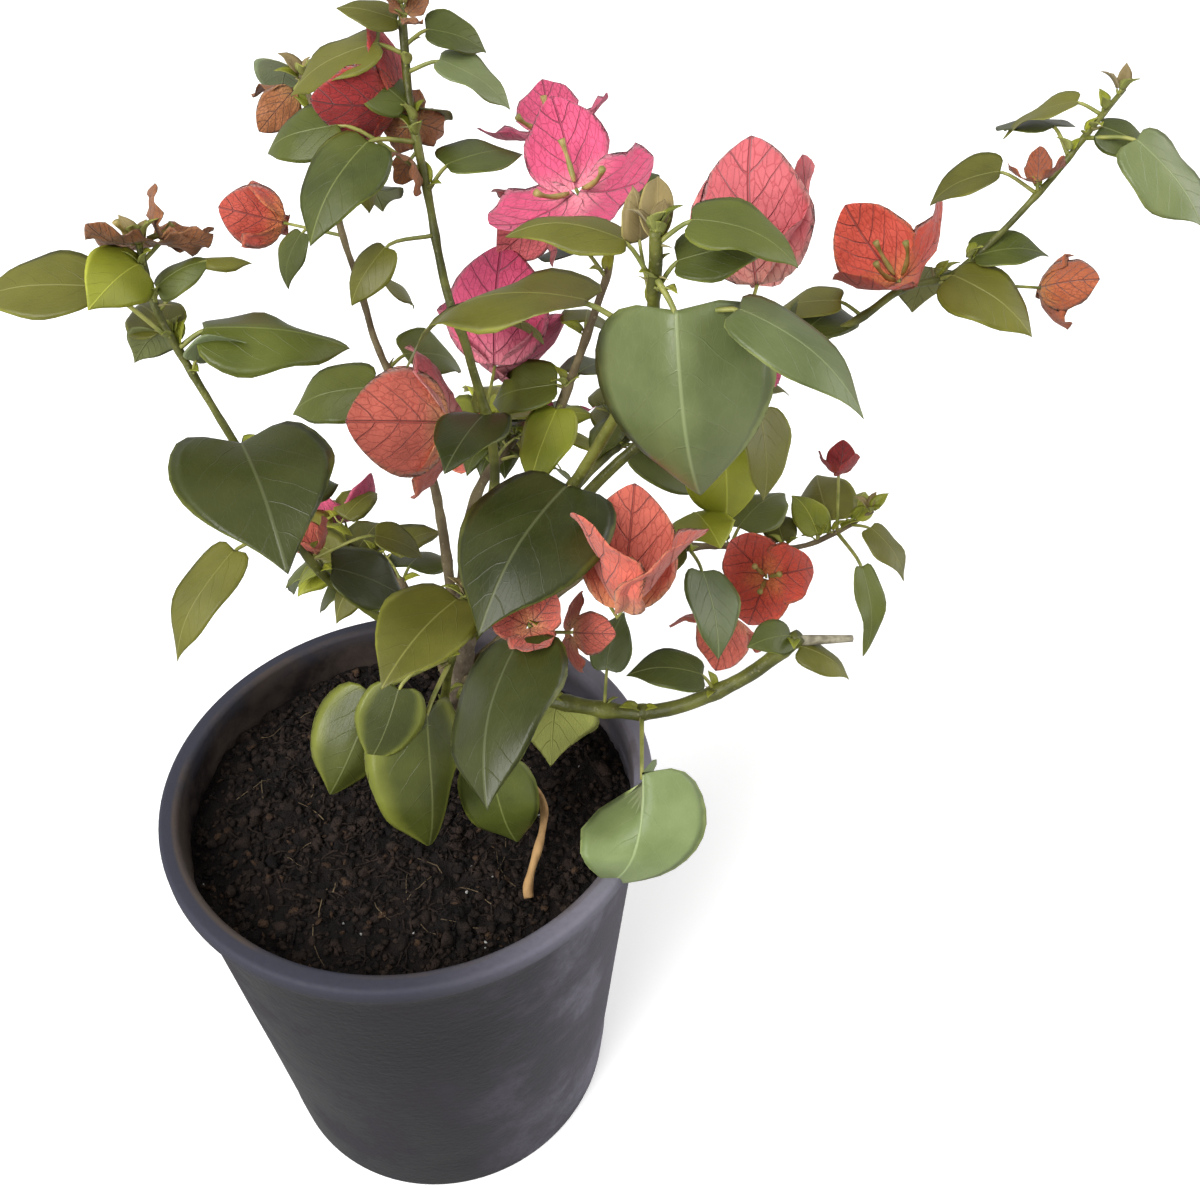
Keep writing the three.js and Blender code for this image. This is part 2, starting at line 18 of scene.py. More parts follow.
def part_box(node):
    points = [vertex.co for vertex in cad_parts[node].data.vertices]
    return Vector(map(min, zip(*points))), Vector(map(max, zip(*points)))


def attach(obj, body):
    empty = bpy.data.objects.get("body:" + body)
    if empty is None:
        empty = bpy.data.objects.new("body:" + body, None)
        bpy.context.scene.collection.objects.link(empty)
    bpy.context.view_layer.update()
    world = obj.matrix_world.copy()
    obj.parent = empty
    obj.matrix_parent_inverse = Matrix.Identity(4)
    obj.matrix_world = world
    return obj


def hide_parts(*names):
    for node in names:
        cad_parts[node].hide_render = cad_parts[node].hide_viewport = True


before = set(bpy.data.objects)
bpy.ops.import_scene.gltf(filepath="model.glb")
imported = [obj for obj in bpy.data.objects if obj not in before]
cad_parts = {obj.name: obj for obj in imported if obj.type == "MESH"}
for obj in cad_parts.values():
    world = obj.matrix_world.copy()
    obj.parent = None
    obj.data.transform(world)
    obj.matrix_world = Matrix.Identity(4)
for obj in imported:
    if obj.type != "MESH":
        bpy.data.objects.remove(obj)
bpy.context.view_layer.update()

MM = 0.001
BODY = "root"

# %% [markdown]
# ## Camera
# The plant is seen from the front and from above, about 40 degrees down, from
# close by, so its near leaves look much larger than its far ones. The camera is
# turned by a heading, a tilt and a small roll, because those are what a
# photographer sets on a tripod head. A separate fitting program found its numbers
# from the outline of the pot.

# %% Camera
CAMERA_SPOT = Vector((0, -323.8, 566.3)) * MM
CAMERA_HEADING = 13.9
CAMERA_TILT = 40.13
CAMERA_ROLL = 0.15
FIELD_LENS, FIELD_WIDTH = 34.5, 36.0


def add_camera():
    data = bpy.data.cameras.new("camera")
    data.lens, data.sensor_width, data.sensor_fit = FIELD_LENS, FIELD_WIDTH, "HORIZONTAL"
    data.clip_start = 0.01
    camera = bpy.data.objects.new("camera", data)
    bpy.context.collection.objects.link(camera)
    turn = (Matrix.Rotation(math.radians(-CAMERA_HEADING), 4, "Z")
            @ Matrix.Rotation(math.radians(90 - CAMERA_TILT), 4, "X")
            @ Matrix.Rotation(math.radians(CAMERA_ROLL), 4, "Z"))
    camera.matrix_world = Matrix.Translation(CAMERA_SPOT) @ turn
    bpy.context.scene.camera = camera
    return camera


camera = add_camera()
print("camera at", [round(c, 3) for c in camera.location])

# %% [markdown]
# ## Light and floor
# The light is that of a bright, hazy day: an even sky, a broad soft sun from the
# upper left, a low one from the front left that puts a sheen on hanging leaves,
# and one from the right. A sun lamp falls evenly on everything, so the floor stays white
# to its far edge, and a wide angle keeps the shadows soft. A white floor would
# throw light up under every leaf and grey the dark pot, so to all but the camera
# it is half grey.

# %% Light and floor
SKY_STRENGTH = 0.52
FLOOR_HALF_SIDE = 6
# what the floor is to everything else, and what it is to the camera
FLOOR_LEVELS = {"Base Color": (0.45, 0.94), "Emission Color": (0.0, 0.30)}
# lamp: where it comes from, the angle it spreads over in degrees, its strength
LIGHTS = {
    "key": ((-0.75, -0.5, 0.95), 46, 2.6),
    "front": ((-0.80, -0.65, 0.35), 26, 1.5),
    "side": ((0.95, -0.15, 0.35), 50, 1.6),
}


def add_light(name, source, spread, strength):
    data = bpy.data.lights.new(name, "SUN")
    data.angle, data.energy = math.radians(spread), strength
    lamp = bpy.data.objects.new(name, data)
    bpy.context.collection.objects.link(lamp)
    facing = (-Vector(source)).to_track_quat("-Z", "Y").to_matrix().to_4x4()
    lamp.matrix_world = Matrix.Translation(Vector(source)) @ facing


def add_sky():
    world = bpy.data.worlds.new("sky")
    world.use_nodes = True
    sky = world.node_tree.nodes["Background"]
    sky.inputs["Color"].default_value = (1.0, 1.0, 1.0, 1)
    sky.inputs["Strength"].default_value = SKY_STRENGTH
    bpy.context.scene.world = world


def add_floor():
    bm = bmesh.new()
    bmesh.ops.create_grid(bm, x_segments=1, y_segments=1, size=FLOOR_HALF_SIDE)
    mesh = bpy.data.meshes.new("floor")
    bm.to_mesh(mesh)
    bm.free()
    floor = bpy.data.objects.new("floor", mesh)
    bpy.context.collection.objects.link(floor)
    sheet = bpy.data.materials.new("pale floor")
    sheet.use_nodes = True
    surface = sheet.node_tree.nodes["Principled BSDF"]
    surface.inputs["Roughness"].default_value = 1.0
    surface.inputs["Specular IOR Level"].default_value = 0.0
    surface.inputs["Emission Strength"].default_value = 1.0
    seen = sheet.node_tree.nodes.new("ShaderNodeLightPath").outputs["Is Camera Ray"]
    for socket, (dim, bright) in FLOOR_LEVELS.items():
        level = sheet.node_tree.nodes.new("ShaderNodeMapRange")
        level.inputs["To Min"].default_value, level.inputs["To Max"].default_value = dim, bright
        sheet.node_tree.links.new(seen, level.inputs["Value"])
        sheet.node_tree.links.new(level.outputs["Result"], surface.inputs[socket])
    mesh.materials.append(sheet)


for name, (source, spread, strength) in LIGHTS.items():
    add_light(name, source, spread, strength)
add_sky()
add_floor()
bpy.context.scene.view_settings.view_transform = "Standard"
print("lights:", ", ".join(LIGHTS))

# %% [markdown]
# ## Building materials
# Each finish is a Principled BSDF whose colour, roughness and bump come from
# noise, cells or veins. These short helpers place a node, join it, and mix two
# colours, so that each finish reads as a recipe.

# %% Material helpers


def paint(name, roughness, **sockets):
    """A new material, with its tree and its Principled BSDF."""
    stuff = bpy.data.materials.new(name)
    stuff.use_nodes = True
    tree = stuff.node_tree
    shader = tree.nodes["Principled BSDF"]
    shader.inputs["Roughness"].default_value = roughness
    for socket, value in sockets.items():
        shader.inputs[socket.replace("_", " ")].default_value = value
    return stuff, tree, shader


def put(tree, kind, inputs=None, **settings):
    """Adds a node; inputs holds numbers, colours or the sockets that feed it."""
    node = tree.nodes.new("ShaderNode" + kind)
    for key, value in settings.items():
        setattr(node, key, value)
    for key, value in (inputs or {}).items():
        if isinstance(value, bpy.types.NodeSocket):
            tree.links.new(value, node.inputs[key])
        else:
            node.inputs[key].default_value = value
    return node


def math_node(tree, operation, a, b=0.0, c=0.0):
    return put(tree, "Math", {0: a, 1: b, 2: c}, operation=operation).outputs[0]


def ramp(tree, value, low, high, to_low=0.0, to_high=1.0):
    """A smooth step from to_low at low to to_high at high."""
    step = put(tree, "MapRange", {"Value": value, "From Min": low, "From Max": high,
                                  "To Min": to_low, "To Max": to_high},
               interpolation_type="SMOOTHSTEP")
    return step.outputs["Result"]


def blend(tree, share, a, b):
    """Colour a turned towards colour b by share."""
    mixer = put(tree, "Mix", data_type="RGBA")
    for key, value in (("Factor_Float", share), ("A_Color", a), ("B_Color", b)):
        socket = next(s for s in mixer.inputs if s.identifier == key)
        if isinstance(value, bpy.types.NodeSocket):
            tree.links.new(value, socket)
        else:
            socket.default_value = value
    return next(s for s in mixer.outputs if s.identifier == "Result_Color")


def shade(rgb, factor=1.0):
    return (*(min(1.0, c * factor) for c in rgb), 1.0)


def bump(tree, shader, height, distance):
    node = put(tree, "Bump", {"Height": height, "Distance": distance, "Strength": 1.0})
    tree.links.new(node.outputs["Normal"], shader.inputs["Normal"])


# %% [markdown]
# ## Veins
# Leaves and bracts share one drawing: a midrib, side veins that leave it in
# pairs and bend towards the tip, and a fine net between them. It reads the
# blade's own map, where X runs from stalk to tip and Y across, so every blade
# wears it at its own size. The same group also gives the height for the bump.
# A finish then lays the net, the side veins and the midrib over its colour, each
# by a share of its own.

# %% Vein group


def make_group(name, inputs, outputs):
    group = bpy.data.node_groups.new(name, "ShaderNodeTree")
    for label, kind, value in inputs:
        socket = group.interface.new_socket(name=label, in_out="INPUT", socket_type=kind)
        socket.default_value = value
    for label, kind in outputs:
        group.interface.new_socket(name=label, in_out="OUTPUT", socket_type=kind)
    start = group.nodes.new("NodeGroupInput")
    end = group.nodes.new("NodeGroupOutput")
    return group, start.outputs, end.inputs


def make_vein_group():
    group, given, result = make_group("veins", [
        ("Pairs", "NodeSocketFloat", 7.0),
        ("Sweep", "NodeSocketFloat", 0.5),
        ("Vein width", "NodeSocketFloat", 0.1),
        ("Net scale", "NodeSocketFloat", 16.0),
    ], [("Midrib", "NodeSocketFloat"), ("Side veins", "NodeSocketFloat"),
        ("Net", "NodeSocketFloat"), ("Height", "NodeSocketFloat")])
    place = put(group, "UVMap", uv_map="Blade").outputs["UV"]
    parts = put(group, "SeparateXYZ", {0: place}).outputs
    waver = put(group, "TexNoise", {"Vector": place, "Scale": 4.0, "Detail": 1.0}).outputs[0]
    across = math_node(group, "ABSOLUTE", parts["Y"])
    midrib = ramp(group, across, 0.006, 0.032, 1.0, 0.0)
    swept = math_node(group, "MULTIPLY", math_node(group, "POWER", across, 1.25), given["Sweep"])
    wavered = math_node(group, "MULTIPLY_ADD", waver, 0.05, parts["X"])
    phase = math_node(group, "MULTIPLY", math_node(group, "SUBTRACT", wavered, swept), given["Pairs"])
    nearness = math_node(group, "ABSOLUTE", math_node(
        group, "SUBTRACT", math_node(group, "FRACT", phase), 0.5))
    line = ramp(group, nearness, 0.0, given["Vein width"], 1.0, 0.0)
    side = math_node(group, "MULTIPLY", line, ramp(group, across, 0.95, 0.2, 0.1, 1.0))
    cells = put(group, "TexVoronoi", {"Vector": place, "Scale": given["Net scale"]},
                feature="DISTANCE_TO_EDGE").outputs["Distance"]
    net = ramp(group, cells, 0.0, 0.07, 1.0, 0.0)
    strongest = math_node(group, "MAXIMUM", midrib, math_node(group, "MULTIPLY", side, 0.7))
    height = math_node(group, "MAXIMUM", strongest, math_node(group, "MULTIPLY", net, 0.15))
    for label, socket in (("Midrib", midrib), ("Side veins", side), ("Net", net),
                          ("Height", height)):
        group.links.new(socket, result[label])
    return group


veins = make_vein_group()
print("group:", veins.name)


def lay_veins(tree, colour, drawn, vein, shares):
    """The colour with each kind of vein laid over it by its share."""
    for kind, share in shares.items():
        colour = blend(tree, math_node(tree, "MULTIPLY", drawn[kind], share), colour, shade(vein))
    return colour

# %% [markdown]
# ## Leaf finish
# A leaf is satin and deep green above and paler below. Its midrib and its very
# edge are paler, and old leaves yellow between the veins. Each leaf carries its
# own number in the attribute "tint", which shifts its green a little.

# %% Leaf finish
LEAF_VEINS = {"Pairs": 5.5, "Sweep": 0.5, "Vein width": 0.035, "Net scale": 15.0}
LEAF_VEIN_SHARES = {"Net": 0.06, "Side veins": 0.14, "Midrib": 0.6}
UPPER_RELIEF, UNDER_RELIEF = 0.00014, 0.0006


def leaf_finish(name, deep, light, vein, rim, margin, roughness, relief):
    stuff, tree, shader = paint(name, roughness, Specular_IOR_Level=0.38)
    drawn = put(tree, "Group", LEAF_VEINS, node_tree=veins).outputs
    tint = put(tree, "Attribute", attribute_name="tint").outputs["Fac"]
    edge = put(tree, "Attribute", attribute_name="edge").outputs["Fac"]
    spot = put(tree, "TexCoord").outputs["Object"]
    mottle = put(tree, "TexNoise", {"Vector": spot, "Scale": 60.0, "Detail": 3.0}).outputs[0]
    share = math_node(tree, "MULTIPLY_ADD", mottle, 1.1, math_node(tree, "MULTIPLY_ADD", tint, 0.7, -0.45))
    colour = blend(tree, share, shade(deep), shade(light))
    paler = blend(tree, 0.35, shade(light, 1.3), shade(vein))
    between = math_node(tree, "MULTIPLY", math_node(tree, "SUBTRACT", 1.0, drawn["Side veins"]), 0.18)
    colour = blend(tree, math_node(tree, "MULTIPLY", between, mottle), colour, paler)
    worn_edge = math_node(tree, "MULTIPLY_ADD", mottle, 0.25, math_node(tree, "SUBTRACT", edge, 0.12))
    at_rim = math_node(tree, "MULTIPLY", ramp(tree, worn_edge, margin, 1.0), 0.6)
    colour = lay_veins(tree, blend(tree, at_rim, colour, shade(rim)), drawn, vein, LEAF_VEIN_SHARES)
    tree.links.new(colour, shader.inputs["Base Color"])
    worn = math_node(tree, "MULTIPLY_ADD", mottle, 0.2, roughness - 0.1)
    tree.links.new(worn, shader.inputs["Roughness"])
    bump(tree, shader, drawn["Height"], relief)
    return stuff


# tone: deep and light of the upper face, its roughness, where its paler margin starts,
# then deep and light beneath
LEAF_TONES = {
    "deep": ((0.018, 0.024, 0.004), (0.050, 0.058, 0.009), 0.36, 0.93,
             (0.13, 0.15, 0.04), (0.20, 0.22, 0.07)),
    "mid": ((0.034, 0.046, 0.006), (0.105, 0.122, 0.015), 0.40, 0.92,
            (0.17, 0.19, 0.06), (0.24, 0.26, 0.09)),
    "olive": ((0.065, 0.066, 0.006), (0.145, 0.140, 0.014), 0.42, 0.90,
              (0.20, 0.20, 0.06), (0.28, 0.28, 0.09)),
    "fresh": ((0.130, 0.155, 0.010), (0.310, 0.320, 0.026), 0.42, 0.90,
              (0.30, 0.33, 0.08), (0.42, 0.44, 0.12)),
    # blue is lighter and bluer than the leaves' own green: part of it is a painted sheen reflecting the sky
    "blue": ((0.066, 0.090, 0.024), (0.155, 0.185, 0.070), 0.34, 0.93,
             (0.22, 0.27, 0.13), (0.30, 0.35, 0.18)),
    "pale": ((0.120, 0.165, 0.048), (0.230, 0.290, 0.120), 0.44, 0.94,
             (0.26, 0.31, 0.15), (0.34, 0.39, 0.20)),
    "edged": ((0.026, 0.034, 0.004), (0.075, 0.085, 0.010), 0.40, 0.55,
              (0.42, 0.44, 0.18), (0.56, 0.57, 0.28)),
    "young": ((0.180, 0.130, 0.050), (0.300, 0.230, 0.090), 0.60, 0.90,
              (0.30, 0.24, 0.13), (0.38, 0.32, 0.18)),
}


def leaf_finishes(tone):
    deep, light, roughness, margin, under_deep, under_light = LEAF_TONES[tone]
    pale = tuple(1.5 * c + 0.04 for c in light)
    rim = (1.3 * light[0] + 0.16, 1.3 * light[1] + 0.17, 1.3 * light[2] + 0.03)
    under_vein = tuple(1.25 * c for c in under_light)
    upper = leaf_finish(f"leaf {tone}", deep, light, pale, rim, margin, roughness, UPPER_RELIEF)
    under = leaf_finish(f"leaf {tone} underside", under_deep, under_light, under_vein, under_light,
                        0.9, roughness + 0.2, UNDER_RELIEF)
    return upper, under


# %% [markdown]
# ## Bract finish
# What looks like a petal is a bract, a coloured leaf as thin as paper. Light
# gets into it, so it glows a little, and its net of veins is darker than the
# rest. Old bracts dry to brown, with harder veins and a crumpled face.

# %% Bract finish
# tone: face, veins, foot
BRACT_TONES = {
    "magenta": ((0.58, 0.075, 0.165), (0.36, 0.02, 0.075), (0.76, 0.28, 0.32)),
    "rose": ((0.60, 0.125, 0.140), (0.38, 0.035, 0.045), (0.78, 0.42, 0.34)),
    "coral": ((0.56, 0.125, 0.085), (0.34, 0.035, 0.024), (0.74, 0.36, 0.17)),
    "scarlet": ((0.52, 0.075, 0.045), (0.28, 0.020, 0.014), (0.64, 0.24, 0.08)),
    "crimson": ((0.36, 0.030, 0.030), (0.18, 0.009, 0.010), (0.52, 0.11, 0.06)),
    "brick": ((0.34, 0.085, 0.030), (0.16, 0.025, 0.010), (0.42, 0.17, 0.05)),
    "dry": ((0.31, 0.115, 0.040), (0.13, 0.036, 0.013), (0.36, 0.19, 0.07)),
}
BRACT_VEINS = {"Pairs": 4.5, "Sweep": 0.6, "Vein width": 0.055, "Net scale": 9.0}
BRACT_VEIN_SHARES = {"Net": 0.42, "Side veins": 0.5, "Midrib": 0.6}
BRACT_RELIEF = 0.0011


def bract_finish(tone):
    face, vein, foot = BRACT_TONES[tone]
    stuff, tree, shader = paint(f"bract {tone}", 0.6, Specular_IOR_Level=0.25, Sheen_Weight=0.2,
                                Sheen_Roughness=0.5)
    drawn = put(tree, "Group", BRACT_VEINS, node_tree=veins).outputs
    tint = put(tree, "Attribute", attribute_name="tint").outputs["Fac"]
    edge = put(tree, "Attribute", attribute_name="edge").outputs["Fac"]
    place = put(tree, "UVMap", uv_map="Blade").outputs["UV"]
    along = put(tree, "SeparateXYZ", {0: place}).outputs["X"]
    spot = put(tree, "TexCoord").outputs["Object"]
    cloud = put(tree, "TexNoise", {"Vector": spot, "Scale": 110.0, "Detail": 3.0}).outputs[0]
    share = math_node(tree, "MULTIPLY_ADD", cloud, 0.9, math_node(tree, "MULTIPLY_ADD", tint, 0.6, -0.45))
    colour = blend(tree, share, shade(face, 0.85), shade(face, 1.4))
    colour = blend(tree, ramp(tree, along, 0.36, 0.0, 0.0, 0.75), colour, shade(foot))
    colour = blend(tree, ramp(tree, edge, 0.86, 1.0, 0.0, 0.35), colour, shade(foot))
    colour = lay_veins(tree, colour, drawn, vein, BRACT_VEIN_SHARES)
    tree.links.new(colour, shader.inputs["Base Color"])
    crinkle = put(tree, "TexNoise", {"Vector": spot, "Scale": 260.0, "Detail": 3.0}).outputs[0]
    height = math_node(tree, "MULTIPLY_ADD", crinkle, 0.9, math_node(tree, "MULTIPLY", drawn["Height"], -0.8))
    bump(tree, shader, height, BRACT_RELIEF)
    return stuff


# %% [markdown]
# ## Shape templates
# Every leaf is one flat blade drawn once: a grid cut to the leaf's outline, with
# a lower face welded on at the margin. Each copy is then bent to its place from
# arrays of numbers, which is quick for a hundred leaves and gives one joined
# mesh. Stalks, canes and thorns do the same with a short round bar.

# %% Templates
UPPER, UNDER = 0, 1


def leaf_half(u):
    """Half width of a leaf at u, widest near its base, with a drawn-out tip."""
    drip = 1 - 0.45 * np.clip((u - 0.72) / 0.28, 0, 1) ** 1.3
    return 2.4 * u ** 0.46 * (1 - u) ** 0.9 * drip


def bract_half(u):
    """Half width of a bract, which is an oval with a short point."""
    return 2.42 * u ** 0.55 * (1 - u) ** 0.75


def blade_template(half, along, across):
    """A flat two-faced blade: x from 0 to 1, y across from -1 to 1, z its side."""
    bm = bmesh.new()
    bmesh.ops.create_grid(bm, x_segments=along, y_segments=across, size=1)
    lower = bmesh.ops.duplicate(bm, geom=bm.verts[:] + bm.edges[:] + bm.faces[:])["geom"]
    lower_faces = [g for g in lower if isinstance(g, bmesh.types.BMFace)]
    lower_verts = {g for g in lower if isinstance(g, bmesh.types.BMVert)}
    bmesh.ops.reverse_faces(bm, faces=lower_faces)
    for face in bm.faces:
        face.material_index = UPPER
    for face in lower_faces:
        face.material_index = UNDER
    for vert in bm.verts:
        x, v = vert.co.x, vert.co.y
        u = 0.5 * (1 + 0.3 * x + 0.7 * math.sin(math.pi * x / 2))
        v = math.copysign(abs(v) ** 0.85, v)
        side = 0 if abs(v) > 0.999 or u < 1e-6 or u > 1 - 1e-6 else (-1 if vert in lower_verts else 1)
        vert.co = (u, v * float(half(min(max(u, 0.0), 1.0))), side)
    bmesh.ops.remove_doubles(bm, verts=bm.verts[:], dist=1e-5)
    return collect(bm, half)


def bar_template(sides, rings):
    """A round bar of radius 1 along z from 0 to 1, with rings cut along it."""
    bm = bmesh.new()
    bmesh.ops.create_cone(bm, cap_ends=True, segments=sides, radius1=1, radius2=1, depth=1)
    long_edges = [e for e in bm.edges if abs(e.verts[0].co.z - e.verts[1].co.z) > 0.5]
    if rings > 1:
        bmesh.ops.subdivide_edges(bm, edges=long_edges, cuts=rings - 1)
    bmesh.ops.translate(bm, verts=bm.verts[:], vec=(0, 0, 0.5))
    return collect(bm)


def collect(bm, half=None):
    """Arrays of a template's points, faces and, on a blade, its two maps."""
    bm.verts.index_update()
    shape = {
        "points": np.array([v.co[:] for v in bm.verts]),
        "faces": [[v.index for v in f.verts] for f in bm.faces],
        "material": [f.material_index for f in bm.faces],
    }
    if half is not None:
        u, w = shape["points"][:, 0], shape["points"][:, 1]
        widest = np.maximum(half(np.clip(u, 0, 1)), 1e-6)
        shape["edge"] = np.clip(np.abs(w) / widest, 0, 1)
        shape["bake"] = [(0.25 + 0.23 * v.co.y + 0.5 * f.material_index, 0.03 + 0.94 * v.co.x)
                         for f in bm.faces for v in f.verts]
    bm.free()
    return shape


leaf_shape = blade_template(leaf_half, 16, 10)
bract_shape = blade_template(bract_half, 14, 10)
small_shape = blade_template(leaf_half, 7, 4)
stalk_shape = bar_template(6, 6)
thorn_shape = bar_template(6, 4)
print("leaf template:", len(leaf_shape["faces"]), "faces; stalk:", len(stalk_shape["faces"]))

# %% [markdown]
# ## Bunches
# A bunch gathers many bent copies and makes one object of them. It notes which
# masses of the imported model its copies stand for. Blades also bring a map called
# OFBake, where each blade has a cell of its own, so a texture baked from the
# finish stays sharp.

# %% Bunches


class Bunch:
    def __init__(self, name, materials, slot=None):
        self.name, self.materials, self.slot = name, materials, slot
        self.points, self.shapes, self.tints, self.stands_for = [], [], [], set()

    def add(self, shape, points, node, tint=0.5):
        self.points.append(points)
        self.shapes.append(shape)
        self.tints.append(tint)
        self.stands_for.add(node)

    def build(self):
        faces, materials, start = [], [], 0
        for shape, points in zip(self.shapes, self.points):
            faces += [[i + start for i in face] for face in shape["faces"]]
            materials += shape["material"]
            start += len(points)
        mesh = bpy.data.meshes.new(self.name)
        mesh.from_pydata(np.concatenate(self.points).tolist(), [], faces)
        mesh.polygons.foreach_set("material_index", materials)
        mesh.shade_smooth()
        for stuff in self.materials:
            mesh.materials.append(stuff)
        if "edge" in self.shapes[0]:
            self.map_blades(mesh)
        counts = [len(p) for p in self.points]
        add_numbers(mesh, "tint", np.repeat(self.tints, counts))
        return finish_piece(self.name, mesh, self.stands_for, self.slot)

    def map_blades(self, mesh):
        corners = np.empty(len(mesh.loops), np.int32)
        mesh.loops.foreach_get("vertex_index", corners)
        flat = np.concatenate([s["points"][:, :2] for s in self.shapes])
        blade = mesh.uv_layers.new(name="Blade")
        blade.uv.foreach_set("vector", flat[corners].astype(np.float32).ravel())
        add_numbers(mesh, "edge", np.concatenate([s["edge"] for s in self.shapes]))
        columns = math.ceil(math.sqrt(len(self.shapes)))
        cells = [(np.array(s["bake"]) + (i % columns, i // columns)) / columns
                 for i, s in enumerate(self.shapes)]
        baked = mesh.uv_layers.new(name="OFBake")
        baked.uv.foreach_set("vector", np.concatenate(cells).astype(np.float32).ravel())


def add_numbers(mesh, name, values):
    """Stores one number for each point under a name that materials can read."""
    layer = mesh.attributes.new(name, "FLOAT", "POINT")
    layer.data.foreach_set("value", np.asarray(values, np.float32))


def finish_piece(name, mesh, stands_for, slot=None):
    """Links a mesh as a piece of the plant, riding on its one body."""
    piece = bpy.data.objects.new(name, mesh)
    bpy.context.collection.objects.link(piece)
    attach(piece, BODY)
    if stands_for:
        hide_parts(*sorted(stands_for))
    print(f"{name}: {len(mesh.polygons)} faces")
    return piece


# %% [markdown]
# ## Shoots
# The plant is thirteen shoots. Each leaves the trunk as a bare bough and ends in
# leaves and blooms. The rows below give where along the shoot a leaf stands, how
# long its stalk is, which way it points and rises, how it rolls, and its length in
# millimetres. Separate fitting programs worked out most of these numbers from
# noted spots, and they were then rounded, so don't copy this part of the lesson:
# rows chosen by hand, or a rule like the one in the next step, are easier to read
# and to change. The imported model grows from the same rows, so the two agree.

